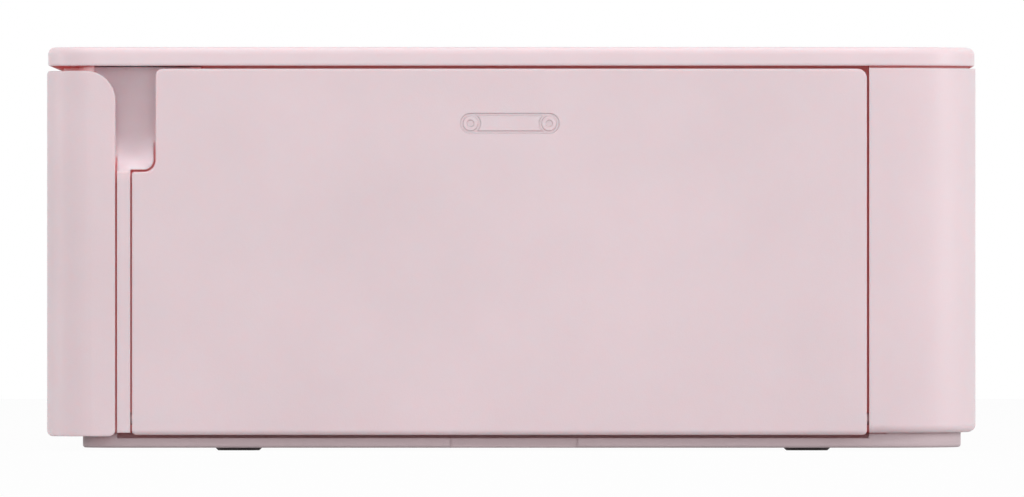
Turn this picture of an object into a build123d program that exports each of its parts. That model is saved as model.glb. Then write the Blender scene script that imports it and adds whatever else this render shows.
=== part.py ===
from build123d import *
import math
import os

# Compact photo printer. Millimetres; X to the printer's right, Y to its rear, Z up.
# The origin is on the surface it stands on, under the middle of the casing.

# ---------------------------------------------------------------- casing
WIDTH = 182.2
DEPTH = 133.0
HEIGHT = 57.6
FRONT_CORNER_R = 6.5
REAR_CORNER_R = 15.0
REAR_CROWN = 0.3
WALL = 2.0
SEAM = 0.3
CASE_FIT = 0.1
STEP_T = 1.0
SHELL_BOTTOM = 2.6
SKIRT_R = 1.1

PLATE_EDGE = 2.7
PLATE_SKIN = 1.8
PLATE_INSET = 0.15
PLATE_TOP_R = 1.0
PLATE_BOTTOM_R = 0.3
PLATE_RIM = 3.0
LIP_T = 1.2
LIP_DEPTH = 2.5

# ---------------------------------------------------------------- base tray and feet
FOOT_SHOW = 0.45
FOOT_SINK = 0.7
FOOT_LENGTH = 6.6
FOOT_WIDTH = 14.0
FOOT_R = 0.45
FOOT_FRONT_IN = 27.3
FOOT_REAR_IN = 24.4
FOOT_SIDE_IN = 17.1
BASE_T = 2.05
BASE_SIDE_INSET = 2.2
BASE_FRONT_INSET = 5.1
BASE_REAR_INSET = 2.1
BASE_FRONT_R = 5.0
BASE_REAR_R = 13.0
BASE_EDGE_R = 0.4
BASE_UNDER_DOOR = 0.65
TRAY_LIP_T = 1.5
TRAY_LIP_HEIGHT = 3.6
LAND_Y0 = -8.9
LAND_Y1 = 9.3
LAND_DEPTH = 0.25
PANEL_RECESS_X = 34.0
PANEL_RECESS_Y = 18.0
PANEL_RECESS_DEPTH = 0.25
FLOOR_VENTS = 7
FLOOR_VENT_PITCH = 4.5
FLOOR_VENT_WIDTH = 1.6
FLOOR_VENT_LENGTH = 12.0

# ---------------------------------------------------------------- front flap
FLAP_T = 2.1
FLAP_BOTTOM = 2.1
FLAP_TOP_DROP = 3.4
FLAP_CORNER_R = 4.2
FLAP_BOTTOM_R = 0.9
FLAP_TOP_R = 0.5
FLAP_SLIT = 0.25
FLAP_AXIS_BACK = 3.25
FLAP_AXIS_Z = 3.65
FLAP_PIN_R = 0.8
FLAP_EAR_R = 1.55
FLAP_EAR_T = 3.2
FLAP_EAR_IN = 19.6
LUG_T = 2.4
HINGE_SIDE_GAP = 0.3
FLAP_TONGUE_WIDTH = 9.0
FLAP_TONGUE_DROP = 8.0

# ---------------------------------------------------------------- ink door
DOOR_T = 2.2
DOOR_FRONT_IN = 12.2
DOOR_REAR_IN = 16.0
DOOR_BOTTOM = 2.3
DOOR_TOP_DROP = 3.1
DOOR_LEDGE_DROP = 17.8
DOOR_NOTCH_IN = 15.6
DOOR_NOTCH_R = 1.65
DOOR_TOP_FRONT_R = 1.0
DOOR_TOP_REAR_R = 1.4
DOOR_LEDGE_R = 0.4
DOOR_EDGE_R = 0.25
DOOR_BOTTOM_EDGE_R = 0.7
DOOR_RIB_T = 1.2
DOOR_RIB_HEIGHT = 1.4
DOOR_RIB_INSET = 2.2
DOOR_AXIS_IN = 1.5
DOOR_AXIS_Z = 4.6
DOOR_PIN_R = 0.9
DOOR_BARREL_R = 1.5
DOOR_BARREL_LENGTH = 7.0
DOOR_PIN_LENGTH = 9.0
POCKET_DEPTH = 2.0
JAMB_T = 2.2
LATCH_WIDTH = 8.0
LATCH_DROP = 7.0
LATCH_T = 1.2
LATCH_REACH = 4.6

# ---------------------------------------------------------------- strip and finger recess
STRIP_FRONT_IN = 10.1
STRIP_REAR_IN = 12.0
FRAME_LAP = 3.0
RECESS_DEPTH = 6.0
RECESS_RISE = 12.0
RECESS_FRONT_IN = 6.8
RECESS_REAR_IN = 20.5
RECESS_WALL = 1.5
RECESS_GAP = 0.3
STRIP_LAP = 0.6

# ---------------------------------------------------------------- rear cover and rear wall
COVER_BELOW_PAPER = 5.0
COVER_ABOVE_PAPER = 12.8
COVER_T = 1.8
COVER_GAP = 1.2
COVER_END_GAP = 0.4
COVER_EDGE_R = 0.4
COVER_AXIS_IN = 2.2
COVER_AXIS_DROP = 2.0
COVER_PIN_R = 0.8
COVER_PIN_LENGTH = 2.6
DISH_LOW = 5.0
DISH_HIGH = 15.5
DISH_DEPTH = 0.3
VENT_COUNT = 14
VENT_PITCH = 5.0
VENT_WIDTH = 2.0
VENT_LOW_DROP = 12.1
VENT_HIGH_DROP = 6.1
INLET_SIDE_IN = 21.1
INLET_Z = 12.0
INLET_HOLE_R = 4.2

# ---------------------------------------------------------------- display and controls
GLASS_SIDE_IN = 17.1
GLASS_WIDTH = 84.0
GLASS_HEIGHT = 64.0
GLASS_T = 1.0
GLASS_FIT = 0.12
GLASS_R = 2.0
SCREEN_MARGIN = 6.5
MODULE_T = 3.0
MODULE_LAP = 1.5
BUTTON_FIT = 0.25
BUTTON_SINK = 0.1
BUTTON_TRAVEL = 0.5
BUTTON_FLANGE = 0.9
BUTTON_FLANGE_T = 0.8
BUTTON_REST_GAP = 0.2
BUTTON_STEM_R = 1.6
BUTTON_STEM = 1.2
PAD_SIDE_IN = 36.1
PAD_Y = -4.0
PAD_R = 17.0
PAD_HOLE_R = 8.0
OK_R = 7.0
OK_LIP = 1.6
ROUND_BUTTON_R = 4.8
POWER_R = 4.4
KEY_COLUMN = 17.0
KEY_ROW = 25.0
POWER_REAR_IN = 26.5
PRINT_FRONT_IN = 30.5
PRINT_LENGTH = 26.0
PRINT_WIDTH = 9.0
DOME_GAP = 0.1
DOME_T = 0.8
KEYBOARD_T = 1.0
KEYBOARD_HALF = 25.0
KEYBOARD_FRONT_IN = 20.5
KEYBOARD_REAR_IN = 16.5
KEY_MAT_INSET = 5.0
DOME_BASE_R = 2.6
DOME_TOP_R = 1.8

# ---------------------------------------------------------------- mechanism frame
SIDE_IN = 31.1
SIDE_T = 1.2
SIDE_FRONT = -36.0
SIDE_REAR = 51.0
SIDE_TOP_DROP = 7.0
CHASSIS_Z = 3.6
CHASSIS_T = 1.2
CHASSIS_FRONT = -28.0
BUSH_R = 2.8
BUSH_T = 2.2
RUN_FIT = 0.05

# ---------------------------------------------------------------- paper path
PAPER_BELOW_MIDDLE = 0.8
PAPER_GAP = 0.3
ROLLER_GAP = 6.0
PLATEN_Y = 6.0
PLATEN_R = 6.0
PLATEN_SHAFT_R = 2.0
CAPSTAN_Y = 22.0
CAPSTAN_R = 3.0
CAPSTAN_SHAFT_R = 2.0
PINCH_R = 2.5
PINCH_SHAFT_R = 1.5
SPRING_T = 0.4
SPRING_WIDTH = 3.5
SPRING_FRONT = 3.5
SPRING_REAR = 9.0
SPRING_FOOT = 4.0
SPRING_DROP = 5.0
PICK_PIVOT_Y = -29.0
PICK_PIVOT_DROP = 12.6
PICK_SHAFT_R = 2.0
PICK_AXLE_Y = -42.0
PICK_AXLE_ABOVE_PAPER = 7.5
PICK_AXLE_R = 1.5
PICK_R = 6.5
PICK_HALF = 11.0
PICK_ARM_T = 2.0
PICK_ARM_R = 3.2
GUIDE_T = 1.2
CHUTE_FRONT = 28.0
CHUTE_REAR_IN = 3.5
CHUTE_SIDE_GAP = 6.6
CHUTE_GAP = 4.6
BAY_SIDE_GAP = 4.0
BAY_WALL = 1.6
BAY_FLOOR = 8.0
BAY_ABOVE_PAPER = 8.0
RIBBON_ROOM = 0.5
RAIL_T = 1.2
RAIL_OUT = 0.8
RAIL_LEVEL = 6.0
BAY_REAR = -10.0

# ---------------------------------------------------------------- head and ribbon bay
HEAD_PIVOT_Y = 42.0
HEAD_PIVOT_DROP = 10.1
HEAD_PIVOT_R = 2.0
HEAD_OPEN_DEG = 4.8
HEAD_GAP = 0.4
HEAD_SIDE_GAP = 8.0
HEAD_WIDTH = 11.0
HEAD_TOP_DROP = 8.6
HEAD_STRIP_WIDTH = 4.0
HEAD_STRIP_T = 1.0
HEAD_FINS = 9
HEAD_FIN_DEPTH = 3.2
ARM_T = 1.2
ARM_SIDE_GAP = 7.0
ARM_EAR_R = 3.0
BAY_FRONT_Y = -23.5
BAY_TO_LEVER = 8.0
BAY_LOW_ABOVE_PAPER = 2.0
BAY_HIGH_DROP = 9.0
REAR_LOBE_ABOVE_PAPER = 7.0
THROAT_FRONT_Y = -3.0
THROAT_REAR_Y = 17.0
THROAT_ABOVE_PAPER = 0.9
BAY_CORNER_R = 2.0
SLEEVE_T = 1.5
SLEEVE_FLANGE = 1.8
SPINDLE_R = 4.0
SPINDLE_SHAFT_R = 1.5
SPINDLE_REACH = 9.0
SPINDLE_TEETH = 3
TAKEUP_Y = -12.5
TAKEUP_LIFT = 0.2
SUPPLY_TO_REAR = 10.0

# ---------------------------------------------------------------- eject lever
LEVER_TO_DOOR = 6.0
LEVER_PIN_R = 1.5
LEVER_HUB_R = 3.2
LEVER_T = 2.6
LEVER_LENGTH = 15.0
LEVER_WIDTH = 4.0
LEVER_SWING_DEG = 14.0
LEVER_TAB = 1.3

# ---------------------------------------------------------------- gears and motors
GEAR_GAP = 3.3
GEAR_FACE = 5.0
DRIVE_MODULE = 0.8
MOTOR_TEETH = 12
IDLER_TEETH = 30
CAPSTAN_TEETH = 24
RIBBON_MODULE = 0.6
RIBBON_TEETH = 12
TAKEUP_TEETH = 28
RIBBON_ANGLE = 216.87
PRESSURE_DEG = 25.0
BACKLASH = 0.16
MOTOR_REAR_IN = 20.5
MOTOR_BELOW_PAPER = 12.0
MOTOR_R = 10.0
MOTOR_LENGTH = 14.5
MOTOR_SHAFT_R = 0.75
MOTOR_BORE_DEPTH = 6.0
RIBBON_MOTOR_R = 6.0
RIBBON_MOTOR_LENGTH = 14.0
GEAR_PLATE_T = 1.2
GEAR_PLATE_GAP = 2.0
STUD_R = 1.5
POST_R = 1.8
GEAR_PLATE_FRONT = -33.0
GEAR_PLATE_STEP_GAP = 3.0

# ---------------------------------------------------------------- electronics
BOARD_T = 1.6
MAIN_BOARD_SIDE_GAP = 1.3
MAIN_BOARD_PANEL_GAP = 0.9
MAIN_BOARD_FRONT_IN = 20.5
MAIN_BOARD_REAR_IN = 22.5
MAIN_BOARD_Z = 8.0
INLET_WIDTH = 9.0
INLET_HEIGHT = 11.0
INLET_LENGTH = 12.5
INLET_BORE_R = 2.9
INLET_PIN_R = 0.85
IO_WALL_GAP = 5.1
IO_SIDE_GAP = 3.3
IO_FRONT_IN = 13.5
IO_LENGTH = 37.0
IO_Z = 17.0
CARD_FROM_FRONT = 13.0
CARD_WIDTH = 25.0
CARD_HEIGHT = 3.2
USB_FROM_REAR = 2.5
USB_WIDTH = 13.2
USB_HEIGHT = 5.8
PORT_DEPTH = 14.0
PORT_WALL = 0.6
PROCESSOR_SIZE = 14.0
PROCESSOR_T = 1.4
PROCESSOR_Y = -5.0
MEMORY_SIZE = 10.0
MEMORY_T = 1.2
MEMORY_Y = -27.0
MEMORY_SHIFT = 1.0
HEADER_LENGTH = 12.0
HEADER_WIDTH = 4.0
HEADER_HEIGHT = 4.0
HEADER_Y = 16.0
CAPACITOR_R = 3.2
CAPACITOR_HEIGHT = 9.0
CAPACITOR_Y = 32.0
CAPACITOR_PITCH = 8.0

# ---------------------------------------------------------------- fasteners
CASE_SCREW_R = 1.2
CASE_SCREW_HEAD_R = 2.2
CASE_SCREW_HEAD = 1.1
CASE_SCREW_LENGTH = 8.0
CASE_BOSS_R = 3.2
CASE_BOSS_TOP = 13.0
CASE_SINK = 1.2
REAR_BOSS_LEFT_IN = (25.1, 7.5)
REAR_BOSS_RIGHT_IN = (9.1, 12.0)
FRONT_BOSS_IN = (10.1, 9.1)
CHASSIS_SCREW_R = 1.0
CHASSIS_SCREW_HEAD_R = 2.0
CHASSIS_SCREW_HEAD = 1.2
CHASSIS_BOSS_R = 3.0
CHASSIS_SCREW_IN = 6.0
CHASSIS_SCREW_Y = (-5.0, 46.0)

# ---------------------------------------------------------------- derived places
HALF_X = WIDTH / 2
FRONT = -DEPTH / 2
REAR = DEPTH / 2
BEYOND = 5.0
FOOT_X = HALF_X - FOOT_SIDE_IN
FOOT_FRONT_Y = FRONT + FOOT_FRONT_IN
FOOT_REAR_Y = REAR - FOOT_REAR_IN
FLAP_TOP = HEIGHT - FLAP_TOP_DROP
FLAP_EAR_X = HALF_X - FLAP_EAR_IN
FLAP_TONGUE_Z = HEIGHT - FLAP_TONGUE_DROP
DOOR_FRONT = FRONT + DOOR_FRONT_IN
DOOR_REAR = REAR - DOOR_REAR_IN
DOOR_TOP = HEIGHT - DOOR_TOP_DROP
DOOR_LEDGE_Z = HEIGHT - DOOR_LEDGE_DROP
DOOR_NOTCH_Y = FRONT + DOOR_NOTCH_IN
LATCH_Z = HEIGHT - LATCH_DROP
STRIP_FRONT = FRONT + STRIP_FRONT_IN
STRIP_REAR = FRONT + STRIP_REAR_IN
RECESS_FRONT = FRONT + RECESS_FRONT_IN
RECESS_REAR = FRONT + RECESS_REAR_IN
VENT_LOW = HEIGHT - VENT_LOW_DROP
VENT_HIGH = HEIGHT - VENT_HIGH_DROP
INLET_X = HALF_X - INLET_SIDE_IN
GLASS_X0 = -HALF_X + GLASS_SIDE_IN
PAD_X = HALF_X - PAD_SIDE_IN
POWER_AT = (PAD_X + KEY_COLUMN, REAR - POWER_REAR_IN)
BACK_AT = (PAD_X - KEY_COLUMN, PAD_Y + KEY_ROW)
MENU_AT = (PAD_X + KEY_COLUMN, PAD_Y + KEY_ROW)
PRINT_AT = (PAD_X, FRONT + PRINT_FRONT_IN)
KEYBOARD_X0 = PAD_X - KEYBOARD_HALF
KEYBOARD_X1 = PAD_X + KEYBOARD_HALF
KEYBOARD_Y0 = FRONT + KEYBOARD_FRONT_IN
KEYBOARD_Y1 = REAR - KEYBOARD_REAR_IN
SIDE_X = HALF_X - SIDE_IN
SIDE_TOP = HEIGHT - SIDE_TOP_DROP
PAPER_Z = HEIGHT / 2 - PAPER_BELOW_MIDDLE
COVER_BOTTOM = PAPER_Z - COVER_BELOW_PAPER
COVER_TOP = PAPER_Z + COVER_ABOVE_PAPER
COVER_HALF_X = SIDE_X
ROLLER_HALF = SIDE_X - ROLLER_GAP
PICK_PIVOT_Z = HEIGHT - PICK_PIVOT_DROP
PICK_AXLE_Z = PAPER_Z + PICK_AXLE_ABOVE_PAPER
CHUTE_REAR = REAR - CHUTE_REAR_IN
CHUTE_HALF = SIDE_X - CHUTE_SIDE_GAP
LEVER_Y = DOOR_REAR - LEVER_TO_DOOR
LEVER_Z = PAPER_Z
BAY_HALF = SIDE_X - BAY_SIDE_GAP
BAY_TOP = PAPER_Z + BAY_ABOVE_PAPER
BAY_REAR_Y = LEVER_Y - BAY_TO_LEVER
BAY_LOW_Z = PAPER_Z + BAY_LOW_ABOVE_PAPER
BAY_HIGH_Z = HEIGHT - BAY_HIGH_DROP
BAY_STEP_Y = BAY_FRONT_Y - RIBBON_ROOM
BAY_STEP_TOP = BAY_LOW_Z - RIBBON_ROOM
REAR_LOBE_Z = PAPER_Z + REAR_LOBE_ABOVE_PAPER
THROAT_Z = PAPER_Z + THROAT_ABOVE_PAPER
HEAD_PIVOT_Z = HEIGHT - HEAD_PIVOT_DROP
HEAD_TOP = HEIGHT - HEAD_TOP_DROP
HEAD_HALF = SIDE_X - HEAD_SIDE_GAP
ARM_HALF = SIDE_X - ARM_SIDE_GAP
TAKEUP_Z = (BAY_LOW_Z + BAY_HIGH_Z) / 2 + TAKEUP_LIFT
SUPPLY_Y = BAY_REAR_Y - SUPPLY_TO_REAR
SUPPLY_Z = (REAR_LOBE_Z + BAY_HIGH_Z) / 2
MOTOR_Y = REAR - MOTOR_REAR_IN
MOTOR_Z = PAPER_Z - MOTOR_BELOW_PAPER
IO_X0 = -HALF_X + IO_WALL_GAP
IO_Y0 = FRONT + IO_FRONT_IN
IO_Y1 = IO_Y0 + IO_LENGTH
CARD_Y = IO_Y0 + CARD_FROM_FRONT
USB_Y = IO_Y1 - USB_FROM_REAR
GEAR_PLATE_STEP_Y = IO_Y1 + GEAR_PLATE_STEP_GAP
MAIN_BOARD_Y0 = FRONT + MAIN_BOARD_FRONT_IN
MAIN_BOARD_Y1 = REAR - MAIN_BOARD_REAR_IN
REAR_BOSS_LEFT = (-HALF_X + REAR_BOSS_LEFT_IN[0], REAR - REAR_BOSS_LEFT_IN[1])
REAR_BOSS_RIGHT = (HALF_X - REAR_BOSS_RIGHT_IN[0], REAR - REAR_BOSS_RIGHT_IN[1])
FRONT_BOSS_X = HALF_X - FRONT_BOSS_IN[0]
FRONT_BOSS_Y = FRONT + FRONT_BOSS_IN[1]
CHASSIS_SCREW_X = SIDE_X - CHASSIS_SCREW_IN
PLATE_UNDER = HEIGHT - PLATE_EDGE
SKIN_UNDER = HEIGHT - PLATE_SKIN
SHELL_TOP = PLATE_UNDER - SEAM
FLOOR = FOOT_SHOW + BASE_T
FLAP_REAR = STRIP_FRONT - FLAP_SLIT
FRAME_INSET = FLAP_T + SEAM
DOOR_INNER_X = HALF_X - DOOR_T
PANEL_X1 = DOOR_INNER_X - POCKET_DEPTH
PANEL_X0 = PANEL_X1 - WALL
JAMB_Y = DOOR_REAR + SEAM
DOOR_AXIS_X = HALF_X - DOOR_AXIS_IN
FLAP_AXIS_Y = FRONT + FLAP_AXIS_BACK
COVER_AXIS_Y = REAR - COVER_AXIS_IN
COVER_AXIS_Z = COVER_TOP - COVER_AXIS_DROP
PLATEN_Z = PAPER_Z - PLATEN_R
CAPSTAN_Z = PAPER_Z - CAPSTAN_R
PINCH_Z = PAPER_Z + PAPER_GAP + PINCH_R
SIDE_OUT = SIDE_X + SIDE_T
GEAR_X1 = -SIDE_OUT - GEAR_GAP
GEAR_X0 = GEAR_X1 - GEAR_FACE
GEAR_PLATE_X1 = GEAR_X0 - GEAR_PLATE_GAP
GEAR_PLATE_X0 = GEAR_PLATE_X1 - GEAR_PLATE_T
DOME_TOP = SKIN_UNDER - BUTTON_REST_GAP - BUTTON_FLANGE_T - BUTTON_STEM - BUTTON_TRAVEL - DOME_GAP
KEYBOARD_TOP = DOME_TOP - DOME_T
CHASSIS_TOP = CHASSIS_Z + CHASSIS_T
MAIN_BOARD_X0 = SIDE_OUT + MAIN_BOARD_SIDE_GAP
MAIN_BOARD_X1 = PANEL_X0 - MAIN_BOARD_PANEL_GAP
IO_X1 = -SIDE_OUT - IO_SIDE_GAP
POSTS = [
    (GEAR_PLATE_FRONT + 3.0, PAPER_Z + 2.5),
    (GEAR_PLATE_STEP_Y + 5.0, CHASSIS_TOP + 7.2),
    (10.0, SIDE_TOP - 6.6),
    (MOTOR_Y + 1.0, CHASSIS_TOP + 2.8),
]


# ================================================================ drawing helpers
def block(x0, x1, y0, y1, z0, z1):
    """Box between two corners."""
    return Pos((x0 + x1) / 2, (y0 + y1) / 2, (z0 + z1) / 2) * Box(x1 - x0, y1 - y0, z1 - z0)


def rod_x(radius, x0, x1, y, z):
    """Round bar along X."""
    return Pos((x0 + x1) / 2, y, z) * Rot(0, 90, 0) * Cylinder(radius, x1 - x0)


def rod_y(radius, y0, y1, x, z):
    """Round bar along Y."""
    return Pos(x, (y0 + y1) / 2, z) * Rot(90, 0, 0) * Cylinder(radius, y1 - y0)


def rod_z(radius, z0, z1, x, y):
    """Round bar along Z."""
    return Pos(x, y, (z0 + z1) / 2) * Cylinder(radius, z1 - z0)


def rounded_face(*corners):
    """Closed face through (u, v, radius) corners; a radius of 0 leaves the corner sharp."""
    face = make_face(Polyline(*[(u, v) for u, v, _ in corners], close=True))
    for u, v, radius in corners:
        if radius > 0:
            face = fillet(face.vertices().sort_by_distance((u, v, 0))[0], radius)
    return face


def prism(face, z0, z1):
    """Plan face raised from z0 to z1."""
    return extrude(Pos(0, 0, z0) * face, z1 - z0)


def across_x(face, x0, x1):
    """Face drawn in Y and Z, carried from x0 to x1."""
    return extrude(Plane.YZ.offset(x0) * face, x1 - x0)


def across_y(face, y0, y1):
    """Face drawn in X and Z, carried from y0 to y1."""
    return extrude(Plane.XZ.offset(-y1) * face, y1 - y0)


def plan(half_x, front, back, front_radius, rear_radius, crown):
    """Plan outline with its own front and rear corner radii and a slightly bowed rear."""
    side_back = back - crown
    outline = Line((-half_x, front), (half_x, front))
    outline += Line((half_x, front), (half_x, side_back))
    outline += ThreePointArc((half_x, side_back), (0, back), (-half_x, side_back))
    outline += Line((-half_x, side_back), (-half_x, front))
    face = make_face(outline)
    face = fillet(face.vertices().sort_by(Axis.Y)[:2], front_radius)
    return fillet(face.vertices().sort_by(Axis.Y)[-2:], rear_radius)


def casing_plan(inset=0.0):
    """The casing's plan outline, drawn in by inset."""
    return plan(
        HALF_X - inset,
        FRONT + inset,
        REAR - inset,
        FRONT_CORNER_R - inset,
        REAR_CORNER_R - inset,
        REAR_CROWN,
    )


def base_plan(inset=0.0):
    """The base tray's plan outline, drawn in by inset."""
    return plan(
        HALF_X - BASE_SIDE_INSET - inset,
        FRONT + BASE_FRONT_INSET + inset,
        REAR - BASE_REAR_INSET - inset,
        BASE_FRONT_R - inset,
        BASE_REAR_R - inset,
        REAR_CROWN,
    )


def group(solids):
    """Separate solids kept together in one node."""
    return Compound(children=[s for solid in solids for s in solid.solids()])


# ================================================================ casing
def top_plate():
    """Lid of the casing, with the display window and the button holes."""
    plate = prism(casing_plan(PLATE_INSET), PLATE_UNDER, HEIGHT)
    levels = plate.edges().group_by(Axis.Z)
    plate = fillet(levels[-1], PLATE_TOP_R)
    plate = fillet(plate.edges().group_by(Axis.Z)[0], PLATE_BOTTOM_R)
    plate -= prism(casing_plan(PLATE_RIM), PLATE_UNDER - BEYOND, SKIN_UNDER)
    lip_outer = WALL + CASE_FIT
    lip = prism(casing_plan(lip_outer), PLATE_UNDER - LIP_DEPTH, PLATE_UNDER + STEP_T / 2)
    lip -= prism(casing_plan(lip_outer + LIP_T), PLATE_UNDER - BEYOND, HEIGHT)
    lip -= block(-WIDTH, WIDTH, FRONT, STRIP_REAR + BEYOND, 0, HEIGHT)
    lip -= block(0, WIDTH, FRONT, JAMB_Y + JAMB_T + SEAM, 0, HEIGHT)
    plate += lip
    for x, y in keyboard_posts():
        plate += rod_z(POST_R, KEYBOARD_TOP, SKIN_UNDER, x, y)
    plate -= block(*glass_box(GLASS_FIT), HEIGHT - GLASS_T, HEIGHT + BEYOND)
    plate -= block(*screen_box(), SKIN_UNDER - BEYOND, HEIGHT)
    for cutter in button_cutters():
        plate -= cutter
    return plate


def glass_box(grow=0.0):
    """Plan limits of the display glass."""
    return (
        GLASS_X0 - grow,
        GLASS_X0 + GLASS_WIDTH + grow,
        -GLASS_HEIGHT / 2 - grow,
        GLASS_HEIGHT / 2 + grow,
    )


def screen_box(grow=0.0):
    """Plan limits of the window through the plate."""
    x0, x1, y0, y1 = glass_box(grow - SCREEN_MARGIN)
    return x0, x1, y0, y1


def keyboard_posts():
    """Places of the posts that carry the key board."""
    inset = POST_R + 1.0
    return [
        (x, y)
        for x in (KEYBOARD_X0 + inset, KEYBOARD_X1 - inset)
        for y in (KEYBOARD_Y0 + inset, KEYBOARD_Y1 - inset)
    ]


def body_shell():
    """Left side, rear and right rear quarter of the casing, in one moulding."""
    outer = prism(casing_plan(), SHELL_BOTTOM, SHELL_TOP)
    outer = fillet(outer.edges().group_by(Axis.Z)[0], SKIRT_R)
    outer += prism(casing_plan(WALL - STEP_T), SHELL_TOP, PLATE_UNDER)
    shell = outer - prism(casing_plan(WALL), 0, HEIGHT)
    shell -= block(-WIDTH, WIDTH, FRONT - BEYOND, STRIP_FRONT, 0, HEIGHT)
    shell -= block(0, WIDTH, FRONT, JAMB_Y, 0, HEIGHT)
    jamb_x = REAR_BOSS_RIGHT[0]
    shell += block(jamb_x, HALF_X - STEP_T, JAMB_Y, JAMB_Y + JAMB_T, SHELL_BOTTOM, SHELL_TOP)
    shell -= rod_y(DOOR_PIN_R, JAMB_Y - 1, JAMB_Y + JAMB_T, DOOR_AXIS_X, DOOR_AXIS_Z)

    # paper slot in the rear, closed by the rear cover
    slot_x = COVER_HALF_X + COVER_END_GAP
    low, high = COVER_BOTTOM - COVER_GAP, COVER_TOP + COVER_GAP
    pivot_block = block(slot_x, slot_x + 6.0, REAR - WALL - 4.0, REAR - WALL, low, high)
    shell += pivot_block + mirror(pivot_block, Plane.YZ)
    shell -= block(-slot_x, slot_x, REAR - WALL - REAR_CROWN - BEYOND, REAR + 1, low, high)
    pin_hole_x = COVER_HALF_X + COVER_PIN_LENGTH + SEAM
    shell -= rod_x(COVER_PIN_R + RUN_FIT, -pin_hole_x, pin_hole_x, COVER_AXIS_Y, COVER_AXIS_Z)

    # shallow trough along the foot of the rear wall
    chord = DISH_HIGH - DISH_LOW
    dish_r = (chord**2 / 4 + DISH_DEPTH**2) / (2 * DISH_DEPTH)
    dish_z = (DISH_LOW + DISH_HIGH) / 2
    dish_y = REAR - DISH_DEPTH + dish_r
    shell -= rod_x(dish_r, -COVER_HALF_X, COVER_HALF_X, dish_y, dish_z)

    # air slots above the rear cover
    for i in range(VENT_COUNT):
        x = (i - (VENT_COUNT - 1) / 2) * VENT_PITCH
        slot = rounded_face(
            (x - VENT_WIDTH / 2, VENT_LOW, VENT_WIDTH / 2.1),
            (x + VENT_WIDTH / 2, VENT_LOW, VENT_WIDTH / 2.1),
            (x + VENT_WIDTH / 2, VENT_HIGH, VENT_WIDTH / 2.1),
            (x - VENT_WIDTH / 2, VENT_HIGH, VENT_WIDTH / 2.1),
        )
        shell -= across_y(slot, REAR - WALL - REAR_CROWN - 1, REAR + 1)

    shell -= rod_y(INLET_HOLE_R, REAR - BEYOND, REAR + 1, INLET_X, INLET_Z)
    for y, width, height in ports():
        shell -= block(
            -HALF_X - 1,
            -HALF_X + WALL + 1,
            y - width / 2 - SEAM,
            y + width / 2 + SEAM,
            IO_Z + BOARD_T - SEAM,
            IO_Z + BOARD_T + height + SEAM,
        )

    # bosses for the case screws
    for x, y in (REAR_BOSS_LEFT, REAR_BOSS_RIGHT):
        shell += rod_z(CASE_BOSS_R, FLOOR, CASE_BOSS_TOP, x, y)
    web_x, web_y = REAR_BOSS_LEFT
    shell += block(web_x - 1, web_x + 1, web_y, REAR - WALL / 2, FLOOR + 4.2, CASE_BOSS_TOP)
    for x, y in (REAR_BOSS_LEFT, REAR_BOSS_RIGHT):
        shell -= rod_z(CASE_SCREW_R, 0, CASE_SCREW_LENGTH + 3, x, y)
    return shell


def ports():
    """Openings of the memory sockets in the left side: place, width and height."""
    return [(CARD_Y, CARD_WIDTH, CARD_HEIGHT), (USB_Y, USB_WIDTH, USB_HEIGHT)]


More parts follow.
